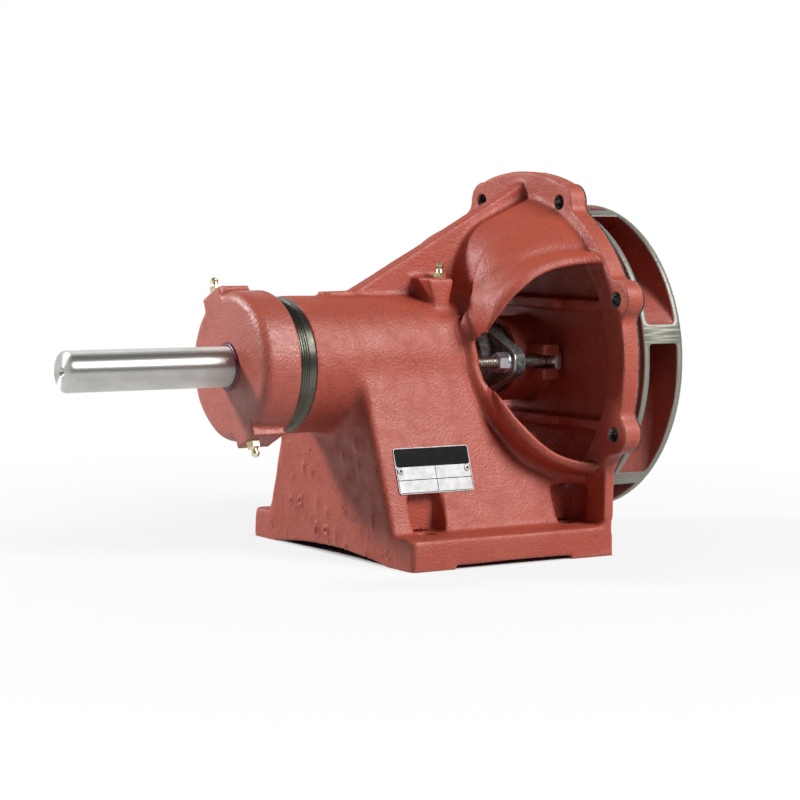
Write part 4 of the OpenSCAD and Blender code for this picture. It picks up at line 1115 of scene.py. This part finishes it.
def underFoot(tree, coords, c):      # 0 on the floor below the foot, 1 outside it
    parts = addNode(tree, "SeparateXYZ", Vector=coords)
    fromMiddle = absolute(tree, maths(tree, "ADD", parts.outputs["X"], c["underMiddle"]))
    x = ramp(tree, fromMiddle, *c["underX"])
    y = ramp(tree, absolute(tree, parts.outputs["Y"]), *c["underY"])
    return maths(tree, "MAXIMUM", x, y)


def paleFloor(c):      # white to the camera away from the part, and it keeps the shadow
    mat, tree = newMaterial("paleFloor")
    coords = objectCoords(tree)
    path = addNode(tree, "LightPath")
    seen = maths(tree, "MAXIMUM", path.outputs["Is Camera Ray"], path.outputs["Is Transmission Ray"])
    seen = maths(tree, "MAXIMUM", seen, path.outputs["Is Glossy Ray"])
    middle = addNode(tree, "Mapping", Vector=coords, Location=c["glowFrom"]).outputs["Vector"]
    glow = ramp(tree, lengthOf(tree, middle), *c["glow"])
    plain = addNode(tree, "BsdfDiffuse", Color=mixColour(tree, seen, c["bounce"], c["seen"]))
    white = addNode(tree, "Emission", Color=(1, 1, 1, 1), Strength=1.0)
    share = maths(tree, "MULTIPLY", seen, maths(tree, "MULTIPLY", glow, underFoot(tree, coords, c)))
    pick = addNode(tree, "MixShader", Fac=share)
    tree.links.new(plain.outputs[0], pick.inputs[1])
    tree.links.new(white.outputs[0], pick.inputs[2])
    addNode(tree, "OutputMaterial", Surface=pick.outputs[0])
    return mat


def makeWorld(c):      # metal mirrors a white backdrop behind the part and a dim room in front of it
    world = bpy.data.worlds.new("studio")
    world.use_nodes = True
    scene.world = world
    tree = world.node_tree
    tree.nodes.clear()
    path = addNode(tree, "LightPath")
    seen = maths(tree, "MAXIMUM", path.outputs["Is Camera Ray"], path.outputs["Is Transmission Ray"])
    glossyRay = path.outputs["Is Glossy Ray"]
    parts = addNode(tree, "SeparateXYZ", Vector=addNode(tree, "TexCoord").outputs["Generated"])
    backdrop = ramp(tree, parts.outputs["Z"], 0.10, 0.85, 1.0, c["ceiling"])
    mirrored = mixValue(tree, ramp(tree, parts.outputs["Y"], -0.15, 0.30), c["room"], backdrop)
    mirrored = maths(tree, "MULTIPLY", glossyRay, mirrored)
    plain = maths(tree, "MULTIPLY", maths(tree, "SUBTRACT", 1.0, glossyRay), c["world"])
    strength = maths(tree, "MAXIMUM", maths(tree, "ADD", mirrored, plain), seen)
    back = addNode(tree, "Background", Color=(1, 1, 1, 1), Strength=strength)
    addNode(tree, "OutputWorld", Surface=back.outputs[0])


def makeStudio(c):
    for name in ("key", "fill"):
        makeLamp(name + "Lamp", c[name], c)
    bm = bmesh.new()
    bmesh.ops.create_grid(bm, x_segments=1, y_segments=1, size=c["floorHalf"])
    bmesh.ops.translate(bm, vec=(0, 0, c["floor"]), verts=bm.verts)
    floor = bpy.data.objects.new("floor", meshFrom(bm, "floor"))
    scene.collection.objects.link(floor)
    floor.data.materials.append(paleFloor(c))
    makeWorld(c)


makeStudio(studio)
print("studio lit")
